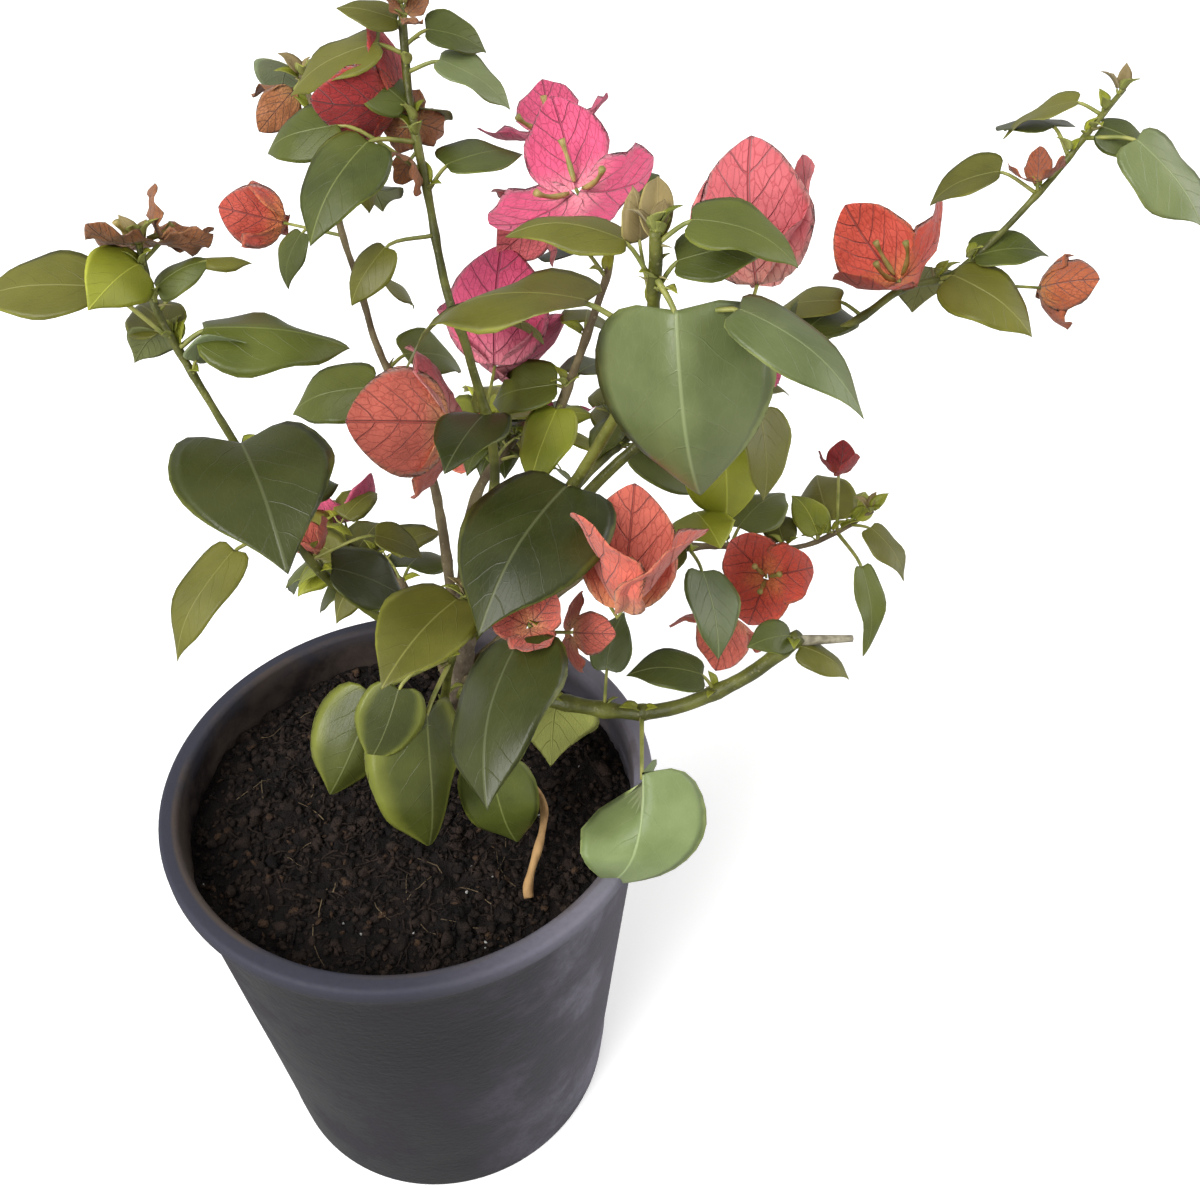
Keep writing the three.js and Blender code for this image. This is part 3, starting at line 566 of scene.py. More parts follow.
# %% Shoots
# path: points along its middle; radii: at the trunk, where its leaves begin and at its tip
# bare: share of its length with no leaves
# leaves: tone, along, stalk, heading, rise, roll, length, then what differs from a common leaf
# blooms: tone, along, pedicel, heading, rise, length, opening, spin, then what differs from a
#   common bract; lead is the heading and rise of the pedicel where it isn't the bloom's own,
#   and tones are those of the three bracts where they aren't alike
# filler: how many leaves and blooms the rule adds, and the headings that they keep between
# snag: the dry stub at the end of a cut cane
SHOOTS = [
    dict(name="upper", cane="green", radii=(2.8, 1.7, 1.0), bare=0.33,
         path=[(30, 13, 278), (45, 14, 335), (40, 18, 380), (35, 25, 402), (33, 35, 428), (31, 45, 455),
               (32, 52, 480)],
         leaves=[
             ("olive", 0.96, 3, 175, 10, -25, 18), ("mid", 0.94, 8, 5, -20, 35, 20),
             ("blue", 0.91, 11, 340, -30, 10, 25), ("olive", 0.93, 8, 170, -25, -15, 33),
             ("mid", 0.84, 7, 155, 30, -25, 22), ("mid", 0.75, 10, 20, -5, 10, 31),
             ("mid", 0.82, 19, 215, -35, -15, 36), ("mid", 0.78, 28, 165, -20, -35, 28),
             ("olive", 0.69, 19, 210, -45, -5, 21), ("deep", 0.38, 4, 245, 0, 5, 34)],
         blooms=[
             ("crimson", 0.87, 4, 140, 10, 26, 50, 0), ("dry", 0.85, 4, 85, -20, 16, 40, 80),
             ("magenta", 0.39, 20, 70, 20, 42, 36, 90),
             ("coral", 0.37, 13, 146, -12, 36, 54, 30, dict(
                 lead=(160, 0), tones=("coral", "rose", "coral"), ratio=1.05, crinkle=0.03)),
             ("dry", 0.97, 2, 305, 55, 9, 55, 10), ("dry", 0.81, 3, 200, -40, 12, 50, 95)],
         filler=dict(count=2, start=30, stop=120)),
    dict(name="back_left", cane="brown", radii=(2.5, 1.5, 0.9), bare=0.38,
         path=[(26, 17, 258), (26, 45, 310), (19, 62, 340), (12, 70, 362), (9, 76, 382), (5, 82, 406),
               (4, 86, 432), (0, 90, 452)],
         leaves=[
             ("blue", 0.98, 12, 110, -35, 25, 28), ("mid", 0.78, 15, 210, -55, 0, 20),
             ("mid", 0.44, 14, 160, -15, -30, 37), ("olive", 0.88, 14, 325, -75, 15, 13)],
         blooms=[
             ("dry", 0.99, 4, 160, -45, 18, 35, 0),
             ("scarlet", 0.75, 25, 140, 0, 23, 35, 30, dict(ratio=1.0, cup=0.5))],
         filler=dict(count=4, start=30, stop=150)),
    dict(name="left", cane="green", radii=(2.7, 1.7, 1.0), bare=0.27,
         path=[(22, 17, 246), (-18, 15, 299), (-32, 15, 337), (-39, 10, 365), (-50, 20, 394),
               (-54, 24, 408), (-55, 30, 424)],
         leaves=[
             ("olive", 0.85, 26, 170, -5, -20, 37), ("fresh", 0.96, 3, 240, 5, -50, 27),
             ("mid", 0.91, 6, 5, 25, 20, 20), ("mid", 0.84, 11, 355, -15, 5, 45),
             ("mid", 0.85, 5, 135, -35, 50, 20),
             ("deep", 0.65, 15, 280, -5, -5, 56, dict(
                 ratio=0.86, lobe=0.26, fold=0.08, wave=0.02, sway=0.05)),
             ("olive", 0.45, 24, 220, -35, -5, 42, dict(ratio=0.5)), ("deep", 0.35, 4, 5, -40, 20, 37),
             ("olive", 0.38, 25, 0, -35, 15, 20), ("olive", 0.9, 22, 5, -10, 5, 14),
             ("blue", 0.79, 5, 345, 30, -45, 20)],
         blooms=[
             ("dry", 0.96, 8, 85, 60, 21, 85, 65), ("dry", 0.97, 8, 30, 30, 16, 50, 75),
             ("coral", 0.32, 12, 135, 65, 15, 36, 0)],
         filler=dict(count=2, start=60, stop=140)),
    dict(name="top", cane="brown", radii=(2.6, 1.7, 1.1), bare=0.45,
         path=[(29, 14, 266), (63, 22, 335), (85, 28, 387), (93, 38, 405), (90, 50, 420)],
         leaves=[
             ("mid", 0.58, 4, 155, -25, -25, 30), ("fresh", 0.55, 4, 235, -45, 10, 30)],
         blooms=[
             ("magenta", 0.99, 26, 218, 61, 32, 70, 13, dict(lead=(243, 22))),
             ("magenta", 1, 25, 162, 76, 26, 70, 66, dict(lead=(125, 38))),
             ("rose", 0.9, 24, 212, -16, 22, 50, 104, dict(lead=(150, 18)))],
         filler=dict(count=4, start=40, stop=140)),
    dict(name="front", cane="green", radii=(2.8, 2.1, 1.5), bare=0.44,
         path=[(29, 13, 262), (50, -4, 310), (70, -18, 355), (85, -32, 400), (86, -38, 430),
               (85, -40, 443)],
         leaves=[
             ("blue", 0.93, 12, 290, -80, 40, 62, dict(
                 ratio=0.86, fold=-0.75, wave=0.012, sway=0.1, arch=0.1, lobe=0.06)),
             ("olive", 0.81, 21, 150, -20, 5, 67, dict(ratio=0.55, wave=0.05, arch=0.12)),
             ("olive", 0.91, 14, 150, 5, -5, 34, dict(ratio=0.55)),
             ("young", 0.95, 5, 70, 40, -5, 21, dict(ratio=0.45, fold=0.9, lobe=0.02, arch=0)),
             ("mid", 0.97, 12, 335, -10, 15, 31), ("mid", 0.89, 12, 340, 10, 25, 27),
             ("blue", 0.83, 28, 322, -25, 10, 46, dict(ratio=0.58)),
             ("deep", 0.49, 4, 225, -15, -5, 60, dict(
                 ratio=0.82, lobe=0.16, wave=0.015, sway=0.1, fold=-0.2)),
             ("young", 0.86, 20, 130, 80, -15, 15)],
         blooms=[
             ("rose", 0.82, 44, 73, 50, 43, 20, 69, dict(lead=(26, 2))),
             ("coral", 0.48, 45, 49, 72, 42, 21, 58, dict(
                 lead=(284, -36), ratio=0.78, cup=0.3, curl=0.22))],
         filler=dict(count=1, start=40, stop=120)),
    dict(name="right", cane="green", radii=(2.9, 1.8, 1.0), bare=0.37,
         path=[(28, 15, 256), (84, 15, 327), (129, 20, 355), (182, 30, 370), (203, 35, 379),
               (229, 40, 382), (258, 45, 407), (277, 50, 428), (289, 55, 438)],
         leaves=[
             ("fresh", 0.42, 14, 275, -80, 0, 39, dict(ratio=0.85)),
             ("olive", 0.47, 20, 260, -60, -35, 33), ("olive", 0.61, 10, 150, -20, -10, 30),
             ("olive", 0.72, 6, 305, -15, 25, 37), ("mid", 0.76, 3, 355, 5, 15, 29),
             ("olive", 0.86, 16, 135, -30, -25, 29), ("olive", 0.96, 10, 140, -30, -10, 28),
             ("mid", 0.94, 4, 325, -20, 30, 22), ("blue", 0.93, 18, 310, -40, 20, 40)],
         blooms=[
             ("brick", 0.86, 4, 135, 75, 14, 50, 70), ("scarlet", 0.67, 3, 180, 60, 34, 45, 65),
             ("brick", 0.71, 42, 350, -5, 21, 46, 20, dict(ratio=0.95, cup=0.4))],
         filler=dict(count=3, start=40, stop=150)),
    dict(name="low_right", cane="brown", radii=(2.6, 1.6, 0.8), bare=0.48,
         path=[(26, 16, 240), (83, 12, 290), (126, 18, 286), (172, 24, 273), (206, 30, 281)],
         leaves=[
             ("fresh", 0.55, 28, 267, 15, 10, 32), ("olive", 0.57, 4, 175, -40, 0, 33),
             ("blue", 0.56, 24, 265, -35, -30, 34), ("fresh", 0.86, 3, 95, 25, -5, 22),
             ("fresh", 0.93, 3, 50, 10, -5, 19), ("olive", 0.93, 10, 300, -30, -5, 26),
             ("mid", 0.9, 22, 275, -55, -5, 38, dict(ratio=0.35)), ("olive", 0.78, 3, 85, 5, -5, 20)],
         blooms=[
             ("scarlet", 0.72, 13, 242, 38, 28, 45, 21, dict(lead=(269, -29), cup=0.35)),
             ("coral", 0.7, 30, 215, -65, 27, 55, 55), ("crimson", 0.9, 26, 105, 80, 14, 36, 100)],
         filler=dict(count=2, start=40, stop=140)),
    dict(name="cane", cane="green", radii=(3.6, 3.0, 2.6), bare=0.36,
         path=[(24, 17, 230), (45, -15, 254), (89, -35, 254), (120, -45, 272), (140, -50, 295)],
         leaves=[
             ("blue", 0.48, 17, 65, 40, -10, 23), ("mid", 0.75, 10, 165, 10, -5, 28),
             ("olive", 0.93, 7, 330, -20, 5, 21),
             ("pale", 0.57, 25, 255, -65, -15, 54, dict(
                 ratio=0.92, sway=-0.35, tuck=2.2, fold=0.1, curl=0.3, wave=0.01)),
             ("fresh", 0.4, 11, 100, -75, 20, 36, dict(ratio=0.95, curl=0.35, lobe=0.03)),
             ("mid", 0.97, 3, 190, 15, -25, 19)],
         blooms=[],
         filler=dict(count=0, start=0, stop=1),
         snag=dict(along=0.97, heading=355, rise=-5, length=22, radii=(2.2, 1.3))),
    dict(name="low_front", cane="green", radii=(2.2, 2.1, 1.2), bare=0,
         path=[(19, 20, 220), (16, -2, 240), (17, -15, 261), (21, -25, 292), (28, -25, 313)],
         leaves=[
             ("edged", 0.76, 30, 200, -57, -60, 47, dict(fold=-0.5, ratio=0.66)),
             ("edged", 0.84, 26, 210, -65, -50, 32),
             ("edged", 0.73, 21, 235, -70, -60, 62, dict(ratio=0.62, fold=-0.6, sway=0.3, wave=0.04)),
             ("olive", 0.99, 7, 225, -5, -5, 43), ("mid", 0.45, 30, 298, -75, 44, 42)],
         blooms=[],
         filler=dict(count=0, start=0, stop=1)),
    dict(name="apron", cane="brown", radii=(2, 1.8, 1.2), bare=0,
         path=[(26, 15, 238), (39, -22, 276), (46, -45, 313)],
         leaves=[
             ("deep", 0.99, 11, 240, -20, 28, 58, dict(fold=-0.25, sway=0.2))],
         blooms=[
             ("coral", 0.98, 8, 255, 55, 18, 40, 44), ("coral", 0.97, 15, 10, -20, 17, 66, 24)],
         filler=dict(count=0, start=0, stop=1)),
    dict(name="back", cane="brown", radii=(2.8, 2.1, 1.1), bare=0.4,
         path=[(26, 17, 250), (40, 55, 292), (62, 92, 296), (72, 128, 276), (74, 150, 252)],
         leaves=[],
         blooms=[],
         filler=dict(count=9, start=0, stop=180, blooms=2)),
    dict(name="back_right", cane="green", radii=(2.8, 2.1, 1.1), bare=0.4,
         path=[(30, 15, 258), (80, 50, 298), (125, 80, 310), (158, 108, 304), (175, 130, 286)],
         leaves=[],
         blooms=[],
         filler=dict(count=9, start=-30, stop=150, blooms=2)),
    dict(name="back_low", cane="brown", radii=(2.4, 1.9, 1.1), bare=0.35,
         path=[(21, 22, 234), (10, 60, 252), (-4, 92, 252), (-10, 112, 240)],
         leaves=[],
         blooms=[],
         filler=dict(count=6, start=60, stop=210, blooms=1)),
]

# %% [markdown]
# ## Growing rule
# Where no row says otherwise, leaves follow one rule: each stands a golden angle
# on from the last, within the shoot's own headings, and its stalk, rise, roll and
# length come from a small repeatable dice. The back of the crown grows this way.

# %% Growing rule
GOLDEN_ANGLE = 137.5
FILLER_TONES = ["mid", "olive", "deep", "mid", "blue", "olive", "fresh"]
FILLER_BRACTS = ["magenta", "coral", "rose", "crimson"]
FILLER_PEDICEL, FILLER_BLOOM_RISE, FILLER_OPENING = 12, 35, 52


def dice(seed):
    """A repeatable source of numbers from 0 to 1."""
    state = seed
    while True:
        state = (state * 1664525 + 1013904223) % 4294967296
        yield state / 4294967296


def mix(a, b, share):
    return a + (b - a) * share


def filler_leaves(shoot, roll):
    rule = shoot["filler"]
    for i in range(rule["count"]):
        t = mix(shoot["bare"] + 0.06, 1, (i + 0.5) / rule["count"])
        heading = rule["start"] + (i * GOLDEN_ANGLE) % (rule["stop"] - rule["start"])
        stalk = mix(6, 14, next(roll))
        rise = mix(-50, 5, next(roll))
        tilt = mix(-25, 25, next(roll))
        length = mix(24, 42, next(roll))
        yield (FILLER_TONES[i % len(FILLER_TONES)], t, stalk, heading, rise, tilt, length)


def filler_blooms(shoot, roll):
    rule = shoot["filler"]
    count = rule.get("blooms", 0)
    for i in range(count):
        heading = rule["start"] + (i * GOLDEN_ANGLE + 40) % (rule["stop"] - rule["start"])
        length = mix(24, 32, next(roll))
        spin = 360 * next(roll)
        tone = FILLER_BRACTS[i % len(FILLER_BRACTS)]
        yield (tone, mix(0.6, 1, (i + 1) / count), FILLER_PEDICEL, heading, FILLER_BLOOM_RISE,
               length, FILLER_OPENING, spin)


class Limb:
    """A smooth line through points; t follows the straight lengths between them."""

    def __init__(self, path):
        self.points = [np.array(p, float) * MM for p in path]
        steps = [np.linalg.norm(b - a) for a, b in zip(self.points, self.points[1:])]
        self.marks = np.concatenate([[0], np.cumsum(steps)])
        self.span = self.marks[-1]

    def at(self, t):
        last = len(self.points) - 1
        reach = min(max(t, 0), 1) * self.span
        i = min(int(np.searchsorted(self.marks, reach, side="right")) - 1, last - 1)
        u = (reach - self.marks[i]) / (self.marks[i + 1] - self.marks[i])
        p, q, r, s = (self.points[min(max(k, 0), last)] for k in (i - 1, i, i + 1, i + 2))
        return 0.5 * (2 * q + (r - p) * u + (2 * p - 5 * q + 4 * r - s) * u ** 2
                      + (3 * q - p - 3 * r + s) * u ** 3)

    def heading_at(self, t):
        step = self.at(min(t + 0.01, 1)) - self.at(max(t - 0.01, 0))
        return step / np.linalg.norm(step)


for seed, shoot in enumerate(SHOOTS, 100):
    roll = dice(seed)
    shoot["limb"] = Limb(shoot["path"])
    shoot["all_leaves"] = shoot["leaves"] + list(filler_leaves(shoot, roll))
    shoot["all_blooms"] = shoot["blooms"] + list(filler_blooms(shoot, roll))
print("leaves:", sum(len(s["all_leaves"]) for s in SHOOTS),
      "blooms:", sum(len(s["all_blooms"]) for s in SHOOTS))

# %% [markdown]
# ## Bending a blade
# A blade lies along its heading, rolled about its own length. From the flat
# template it is folded at the midrib, arched along its length, curled down at the
# tip and waved at its margins. Some blades are also cupped across, crinkled all
# over, swayed to one side in their own plane, or tucked in along one edge. Each
# is a share of the blade's own size or an angle, so large and small ones bend
# alike.

# %% Bending a blade


def direction(heading, rise):
    h, r = math.radians(heading), math.radians(rise)
    return np.array((math.cos(r) * math.cos(h), math.cos(r) * math.sin(h), math.sin(r)))


def blade_frame(heading, rise, roll):
    """Unit vectors along a blade, to its left, and out of its upper face."""
    along = direction(heading, rise)
    left = np.array((-math.sin(math.radians(heading)), math.cos(math.radians(heading)), 0.0))
    out = np.cross(along, left)
    c, s = math.cos(math.radians(roll)), math.sin(math.radians(roll))
    return along, left * c + out * s, out * c - left * s


# ratio: width over length; arch, curl, wave, lobe, crinkle: shares of the length
# fold, cup: shares of half the width; waves: how many; twist, sway, tuck: radians
COMMON_LEAF = dict(ratio=0.74, arch=0.07, fold=0.24, curl=0.10, wave=0.03, waves=1.6, twist=0.0,
                   thickness=0.0005, lobe=0.12, sway=0.0, tuck=0.0, cup=0.0, crinkle=0.0)
COMMON_BRACT = dict(ratio=0.88, arch=-0.10, fold=0.05, curl=-0.06, wave=0.05, waves=2.2, twist=0.0,
                    thickness=0.00025, lobe=0.05, sway=0.0, tuck=0.0, cup=0.16, crinkle=0.014)


def bend_blade(shape, base, axes, length, look, phase):
    """The template's points carried to a blade of this length and look."""
    along, left, out = axes
    u, w, side = shape["points"].T
    half = length * look["ratio"] / 2
    edge = shape["edge"]
    middle = np.sin(math.pi * np.clip(u, 0, 1))
    across = w * half
    lift = look["arch"] * length * 4 * u * (1 - u)
    lift = lift + look["fold"] * half * (np.sqrt(w ** 2 + 0.004) - 0.063)
    lift = lift + look["cup"] * half * w ** 2
    lift = lift - look["curl"] * length * np.clip((u - 0.45) / 0.55, 0, 1) ** 2
    ripple = np.sin(2 * math.pi * look["waves"] * u + phase + 1.7 * (w > 0))
    lift = lift + look["wave"] * length * ripple * edge ** 2 * middle ** 0.5
    crumple = np.sin(9 * u + 4 * w + phase) * np.sin(7 * w - 6 * u + 1.3 * phase)
    lift = lift + look["crinkle"] * length * crumple * middle
    tucked = look["tuck"] * (1 - np.clip(u / 0.6, 0, 1) ** 2)
    turn = look["twist"] * u + tucked * (w < 0)
    across, lift = across * np.cos(turn), lift + across * np.sin(turn)
    lift = lift + side * look["thickness"] / 2 * (1 - edge ** 4)
    back = look["lobe"] * length * np.abs(w) * np.exp(-(u / 0.16) ** 2)
    bow = look["sway"] * u
    forward = length * u * np.sinc(bow / math.pi) - back - across * np.sin(bow)
    across = length * u * np.sinc(bow / 2 / math.pi) * np.sin(bow / 2) + across * np.cos(bow)
    return base + np.outer(forward, along) + np.outer(across, left) + np.outer(lift, out)


def bend_bar(shape, line, radii):
    """The bar template bent along points, with a radius at each of its rings."""
    x, y, z = shape["points"].T
    line = np.asarray(line)
    ring = np.rint(z * (len(line) - 1)).astype(int)
    tangents = np.gradient(line, axis=0)
    tangents /= np.linalg.norm(tangents, axis=1)[:, None]
    across = np.array((1.0, 0, 0)) if abs(tangents[0][0]) < 0.9 else np.array((0, 1.0, 0))
    sides = []
    for tangent in tangents:
        across = across - tangent * (across @ tangent)
        across = across / np.linalg.norm(across)
        sides.append((across, np.cross(tangent, across)))
    sides = np.array(sides)
    radii = np.asarray(radii)[ring][:, None]
    return (line[ring] + sides[ring, 0] * (x[:, None] * radii)
            + sides[ring, 1] * (y[:, None] * radii))


# %% [markdown]
# ## Leaves
# Each leaf's stalk leaves the shoot on a short curve and runs into the midrib.
# The leaves go into one bunch for each tone of green.

# %% Leaves
SEED = 11
STALK_POINTS = 7                        # one for each ring of the stalk's bar
SMALL_LEAF = 17                         # millimetres, up to which the coarser blade will do
luck = np.random.default_rng(SEED)
leaf_bunches = {tone: Bunch(f"leaves_{tone}", leaf_finishes(tone), "foliage") for tone in LEAF_TONES}


def stalk_rise(rise):
    return min(rise + 50, 75)


def curved_line(start, leaving, end, arriving, steps):
    """Points on a smooth curve that leaves and arrives in the given directions."""
    s = np.linspace(0, 1, steps)[:, None]
    return ((2 * s ** 3 - 3 * s ** 2 + 1) * start + (s ** 3 - 2 * s ** 2 + s) * leaving
            + (3 * s ** 2 - 2 * s ** 3) * end + (s ** 3 - s ** 2) * arriving)


def grow_leaf(shoot, row, stalks):
    tone, t, stalk, heading, rise, roll, length, *differences = row
    look = {**COMMON_LEAF, "curl": luck.uniform(0.04, 0.18), "fold": luck.uniform(-0.42, 0.2),
            "twist": luck.uniform(-0.25, 0.25), "sway": luck.uniform(-0.3, 0.3),
            "wave": luck.uniform(0.015, 0.045), **(differences[0] if differences else {})}
    start = shoot["limb"].at(t)
    base = start + direction(heading, stalk_rise(rise)) * stalk * MM
    axes = blade_frame(heading, rise, roll)
    shape = leaf_shape if length > SMALL_LEAF else small_shape
    node = "foliage_" + shoot["name"]
    points = bend_blade(shape, base, axes, length * MM, look, luck.uniform(0, 6.3))
    leaf_bunches[tone].add(shape, points, node, luck.uniform())
    end = base + axes[0] * 0.05 * length * MM
    reach = np.linalg.norm(end - start)
    line = curved_line(start, direction(heading, stalk_rise(rise)) * reach * 1.1, end,
                       axes[0] * reach * 0.7, STALK_POINTS)
    thick = mix(0.55, 1.0, min(length / 55, 1)) * MM
    radii = np.linspace(thick, thick * 0.75, STALK_POINTS)
    stalks.add(stalk_shape, bend_bar(stalk_shape, line, radii), node)


# %% [markdown]
# ## Blooms
# Three bracts stand round a short foot, each with a slim flower tube against its
# midrib. A bloom opens by an angle: small for one that is still closed, wide for
# one that faces you. Dried blooms are narrower and more crumpled.

# %% Blooms
TUBE_BLOOM = 20                         # millimetres, from which a bloom's tubes show
TUBE_RADII = np.array((0.6, 0.95, 1.0, 0.75, 0.65, 0.9, 1.25)) * MM
tube_shape = bar_template(8, len(TUBE_RADII) - 1)
bract_bunches = {tone: Bunch(f"bracts_{tone}", [bract_finish(tone)] * 2) for tone in BRACT_TONES}


def grow_bloom(shoot, row, stalks, tubes):
    tone, t, pedicel, heading, rise, length, opening, spin, *differences = row
    own = dict(differences[0]) if differences else {}
    tones = own.pop("tones", (tone,) * 3)
    node = "foliage_" + shoot["name"]
    axis = direction(heading, rise)
    leaving = direction(*own.pop("lead", (heading, rise)))
    start = shoot["limb"].at(t)
    base = start + leaving * pedicel * MM
    side = np.array((-math.sin(math.radians(heading)), math.cos(math.radians(heading)), 0.0))
    top = np.cross(axis, side)
    crumpled = tone in ("dry", "brick")
    for i in range(3):
        a = math.radians(spin + 120 * i)
        outward = side * math.cos(a) + top * math.sin(a)
        c, s = math.cos(math.radians(opening)), math.sin(math.radians(opening))
        along, out = axis * c + outward * s, axis * s - outward * c
        look = {**COMMON_BRACT, "wave": 0.09 if crumpled else luck.uniform(0.03, 0.06),
                "ratio": 0.72 if crumpled else 0.88, "twist": luck.uniform(-0.2, 0.2), **own}
        foot = base + along * 1.0 * MM
        points = bend_blade(bract_shape, foot, (along, np.cross(out, along), out), length * MM, look,
                            luck.uniform(0, 6.3))
        bract_bunches[tones[i]].add(bract_shape, points, node, luck.uniform())
        if length > TUBE_BLOOM:
            grow_tube(tubes, node, base, along, out, length)
    line = curved_line(start, leaving * pedicel * MM, base + axis * 1.2 * MM, axis * pedicel * MM,
                       STALK_POINTS)
    radii = np.linspace(0.75, 0.6, STALK_POINTS) * MM
    stalks.add(stalk_shape, bend_bar(stalk_shape, line, radii), node)


def grow_tube(tubes, node, base, along, out, length):
    """A slim flower tube with a waist and a flared mouth, close to its bract."""
    reach = min(0.45 * length, 16) * MM
    start = base + along * 0.10 * length * MM + out * 0.8 * MM
    end = start + along * reach * 0.85 + out * reach * 0.35
    line = curved_line(start, along * reach, end, (along + out) * reach * 0.6, len(TUBE_RADII))
    tubes.add(tube_shape, bend_bar(tube_shape, line, TUBE_RADII), node)


def plain_finish(name, dark, light, roughness, scale, relief):
    """A mottled plant skin for stalks and flower tubes."""
    stuff, tree, shader = paint(name, roughness)
    spot = put(tree, "TexCoord").outputs["Object"]
    cloud = put(tree, "TexNoise", {"Vector": spot, "Scale": scale, "Detail": 3.0}).outputs[0]
    tree.links.new(blend(tree, ramp(tree, cloud, 0.35, 0.65), shade(dark), shade(light)),
                   shader.inputs["Base Color"])
    bump(tree, shader, cloud, relief)
    return stuff


stalk_skin = plain_finish("stalk skin", (0.17, 0.19, 0.035), (0.30, 0.30, 0.07), 0.5, 160, 0.0002)
tube_skin = plain_finish("tube skin", (0.23, 0.22, 0.05), (0.40, 0.30, 0.10), 0.55, 240, 0.0002)
stalks = Bunch("stalks", [stalk_skin])
tubes = Bunch("flower_tubes", [tube_skin])
for shoot in SHOOTS:
    for row in shoot["all_leaves"]:
        grow_leaf(shoot, row, stalks)
    for row in shoot["all_blooms"]:
        grow_bloom(shoot, row, stalks, tubes)
for bunch in (*leaf_bunches.values(), *bract_bunches.values(), stalks, tubes):
    bunch.build()

# %% [markdown]
# ## Canes and bark
# A young cane is green, faintly ribbed, and swells at each leaf's foot. Older
# wood is grey-brown and cracked lengthwise. Both are one bar bent along the
# shoot, with many rings, and their relief is pushed into the mesh by noise.
# Blender's noise_vector takes its start from the clock unless it has a seed, so
# it is given one here, and the canes come out the same each time.

# %% Canes and bark
CANE_STEP = 2.2                         # millimetres between the rings of a cane
CANE_SIDES = 12
RELIEF_SCALE = 420
# cane: how uneven its thickness is, and the depth of its skin's relief in millimetres
CANE_RELIEF = {"green": (0.08, 0.25), "brown": (0.16, 0.5)}
noise.seed_set(SEED)


def cane_finish(name, dark, light, fleck, roughness):
    stuff, tree, shader = paint(name, roughness, Specular_IOR_Level=0.4)
    spot = put(tree, "TexCoord").outputs["Object"]
    cloud = put(tree, "TexNoise", {"Vector": spot, "Scale": 90.0, "Detail": 4.0}).outputs[0]
    grain = put(tree, "TexNoise", {"Vector": spot, "Scale": 900.0, "Detail": 2.0}).outputs[0]
    dots = put(tree, "TexVoronoi", {"Vector": spot, "Scale": 380.0}).outputs["Distance"]
    colour = blend(tree, ramp(tree, cloud, 0.35, 0.65), shade(dark), shade(light))
    colour = blend(tree, ramp(tree, dots, 0.22, 0.10, 0.0, 0.5), colour, shade(fleck))
    tree.links.new(colour, shader.inputs["Base Color"])
    bump(tree, shader, grain, 0.0003)
    return stuff


def radius_at(shoot, t):
    at_trunk, at_leaves, at_tip = shoot["radii"]
    bare = shoot["bare"]
    if t < bare:
        return mix(at_trunk, at_leaves, t / bare)
    return mix(at_leaves, at_tip, (t - bare) / (1 - bare))


def cane_radii(shoot, ts, rough):
    """Radii with a swelling at each leaf's foot and an uneven skin."""
    feet = [row[1] for row in shoot["all_leaves"] + shoot["all_blooms"]]
    span = shoot["limb"].span / MM
    radii = []
    for t in ts:
        swell = sum(math.exp(-((t - foot) * span / 2.6) ** 2) for foot in feet)
        uneven = noise.noise(Vector((t * span * 0.22, 3.1, len(feet)))) * rough
        radii.append(radius_at(shoot, t) * (1 + 0.22 * min(swell, 1.2) + uneven) * MM)
    return radii


def ribbed(points, line_scale, depth, seed):
    """Pushes points in and out by a noise that is stretched up the stem."""
    moved = []
    for p in points:
        v = Vector((p[0], p[1], p[2] * 0.35)) * line_scale + Vector((seed, 0, 0))
        shift = noise.noise(v) * depth
        moved.append(p + np.array(noise.noise_vector(v * 0.5)) * depth * 0.4 + shift * 0.3)
    return np.array(moved)


def grow_cane(shoot, bunch):
    span = shoot["limb"].span / MM
    rings = max(8, round(span / CANE_STEP))
    shape = bar_template(CANE_SIDES, rings)
    ts = np.linspace(0, 1, rings + 1)
    line = [shoot["limb"].at(t) for t in ts]
    rough, depth = CANE_RELIEF[shoot["cane"]]
    points = bend_bar(shape, line, cane_radii(shoot, ts, rough))
    points = ribbed(points, RELIEF_SCALE, depth * MM, len(bunch.points))
    node = "foliage_" + shoot["name"]
    bunch.add(shape, points, node)
    if shoot["bare"]:
        bunch.stands_for.add("bough_" + shoot["name"])


green_skin = cane_finish("green cane", (0.060, 0.064, 0.009), (0.150, 0.156, 0.028), (0.23, 0.21, 0.09), 0.45)
brown_skin = cane_finish("brown twig", (0.10, 0.07, 0.035), (0.20, 0.16, 0.08), (0.30, 0.24, 0.15), 0.7)
canes = {"green": Bunch("green_canes", [green_skin], "bough"),
         "brown": Bunch("brown_twigs", [brown_skin], "bough")}
for shoot in SHOOTS:
    grow_cane(shoot, canes[shoot["cane"]])
for bunch in canes.values():
    bunch.build()

# %% [markdown]
# ## Trunk
# The trunk is short and leans. It flares where it enters the soil, tapers to the
# fork, and its bark is cracked lengthwise, so it gets many sides and a relief
# that is drawn out along the stem.

# %% Trunk
TRUNK_PATH = [(13.5, 26, 184), (23, 19, 222), (28, 14, 256), (30, 13, 282)]
TRUNK_FOOT, TRUNK_TIP, TRUNK_FLARE, FLARE_HEIGHT = 7.5, 3.6, 3.0, 18
TRUNK_SIDES, TRUNK_RINGS = 36, 70


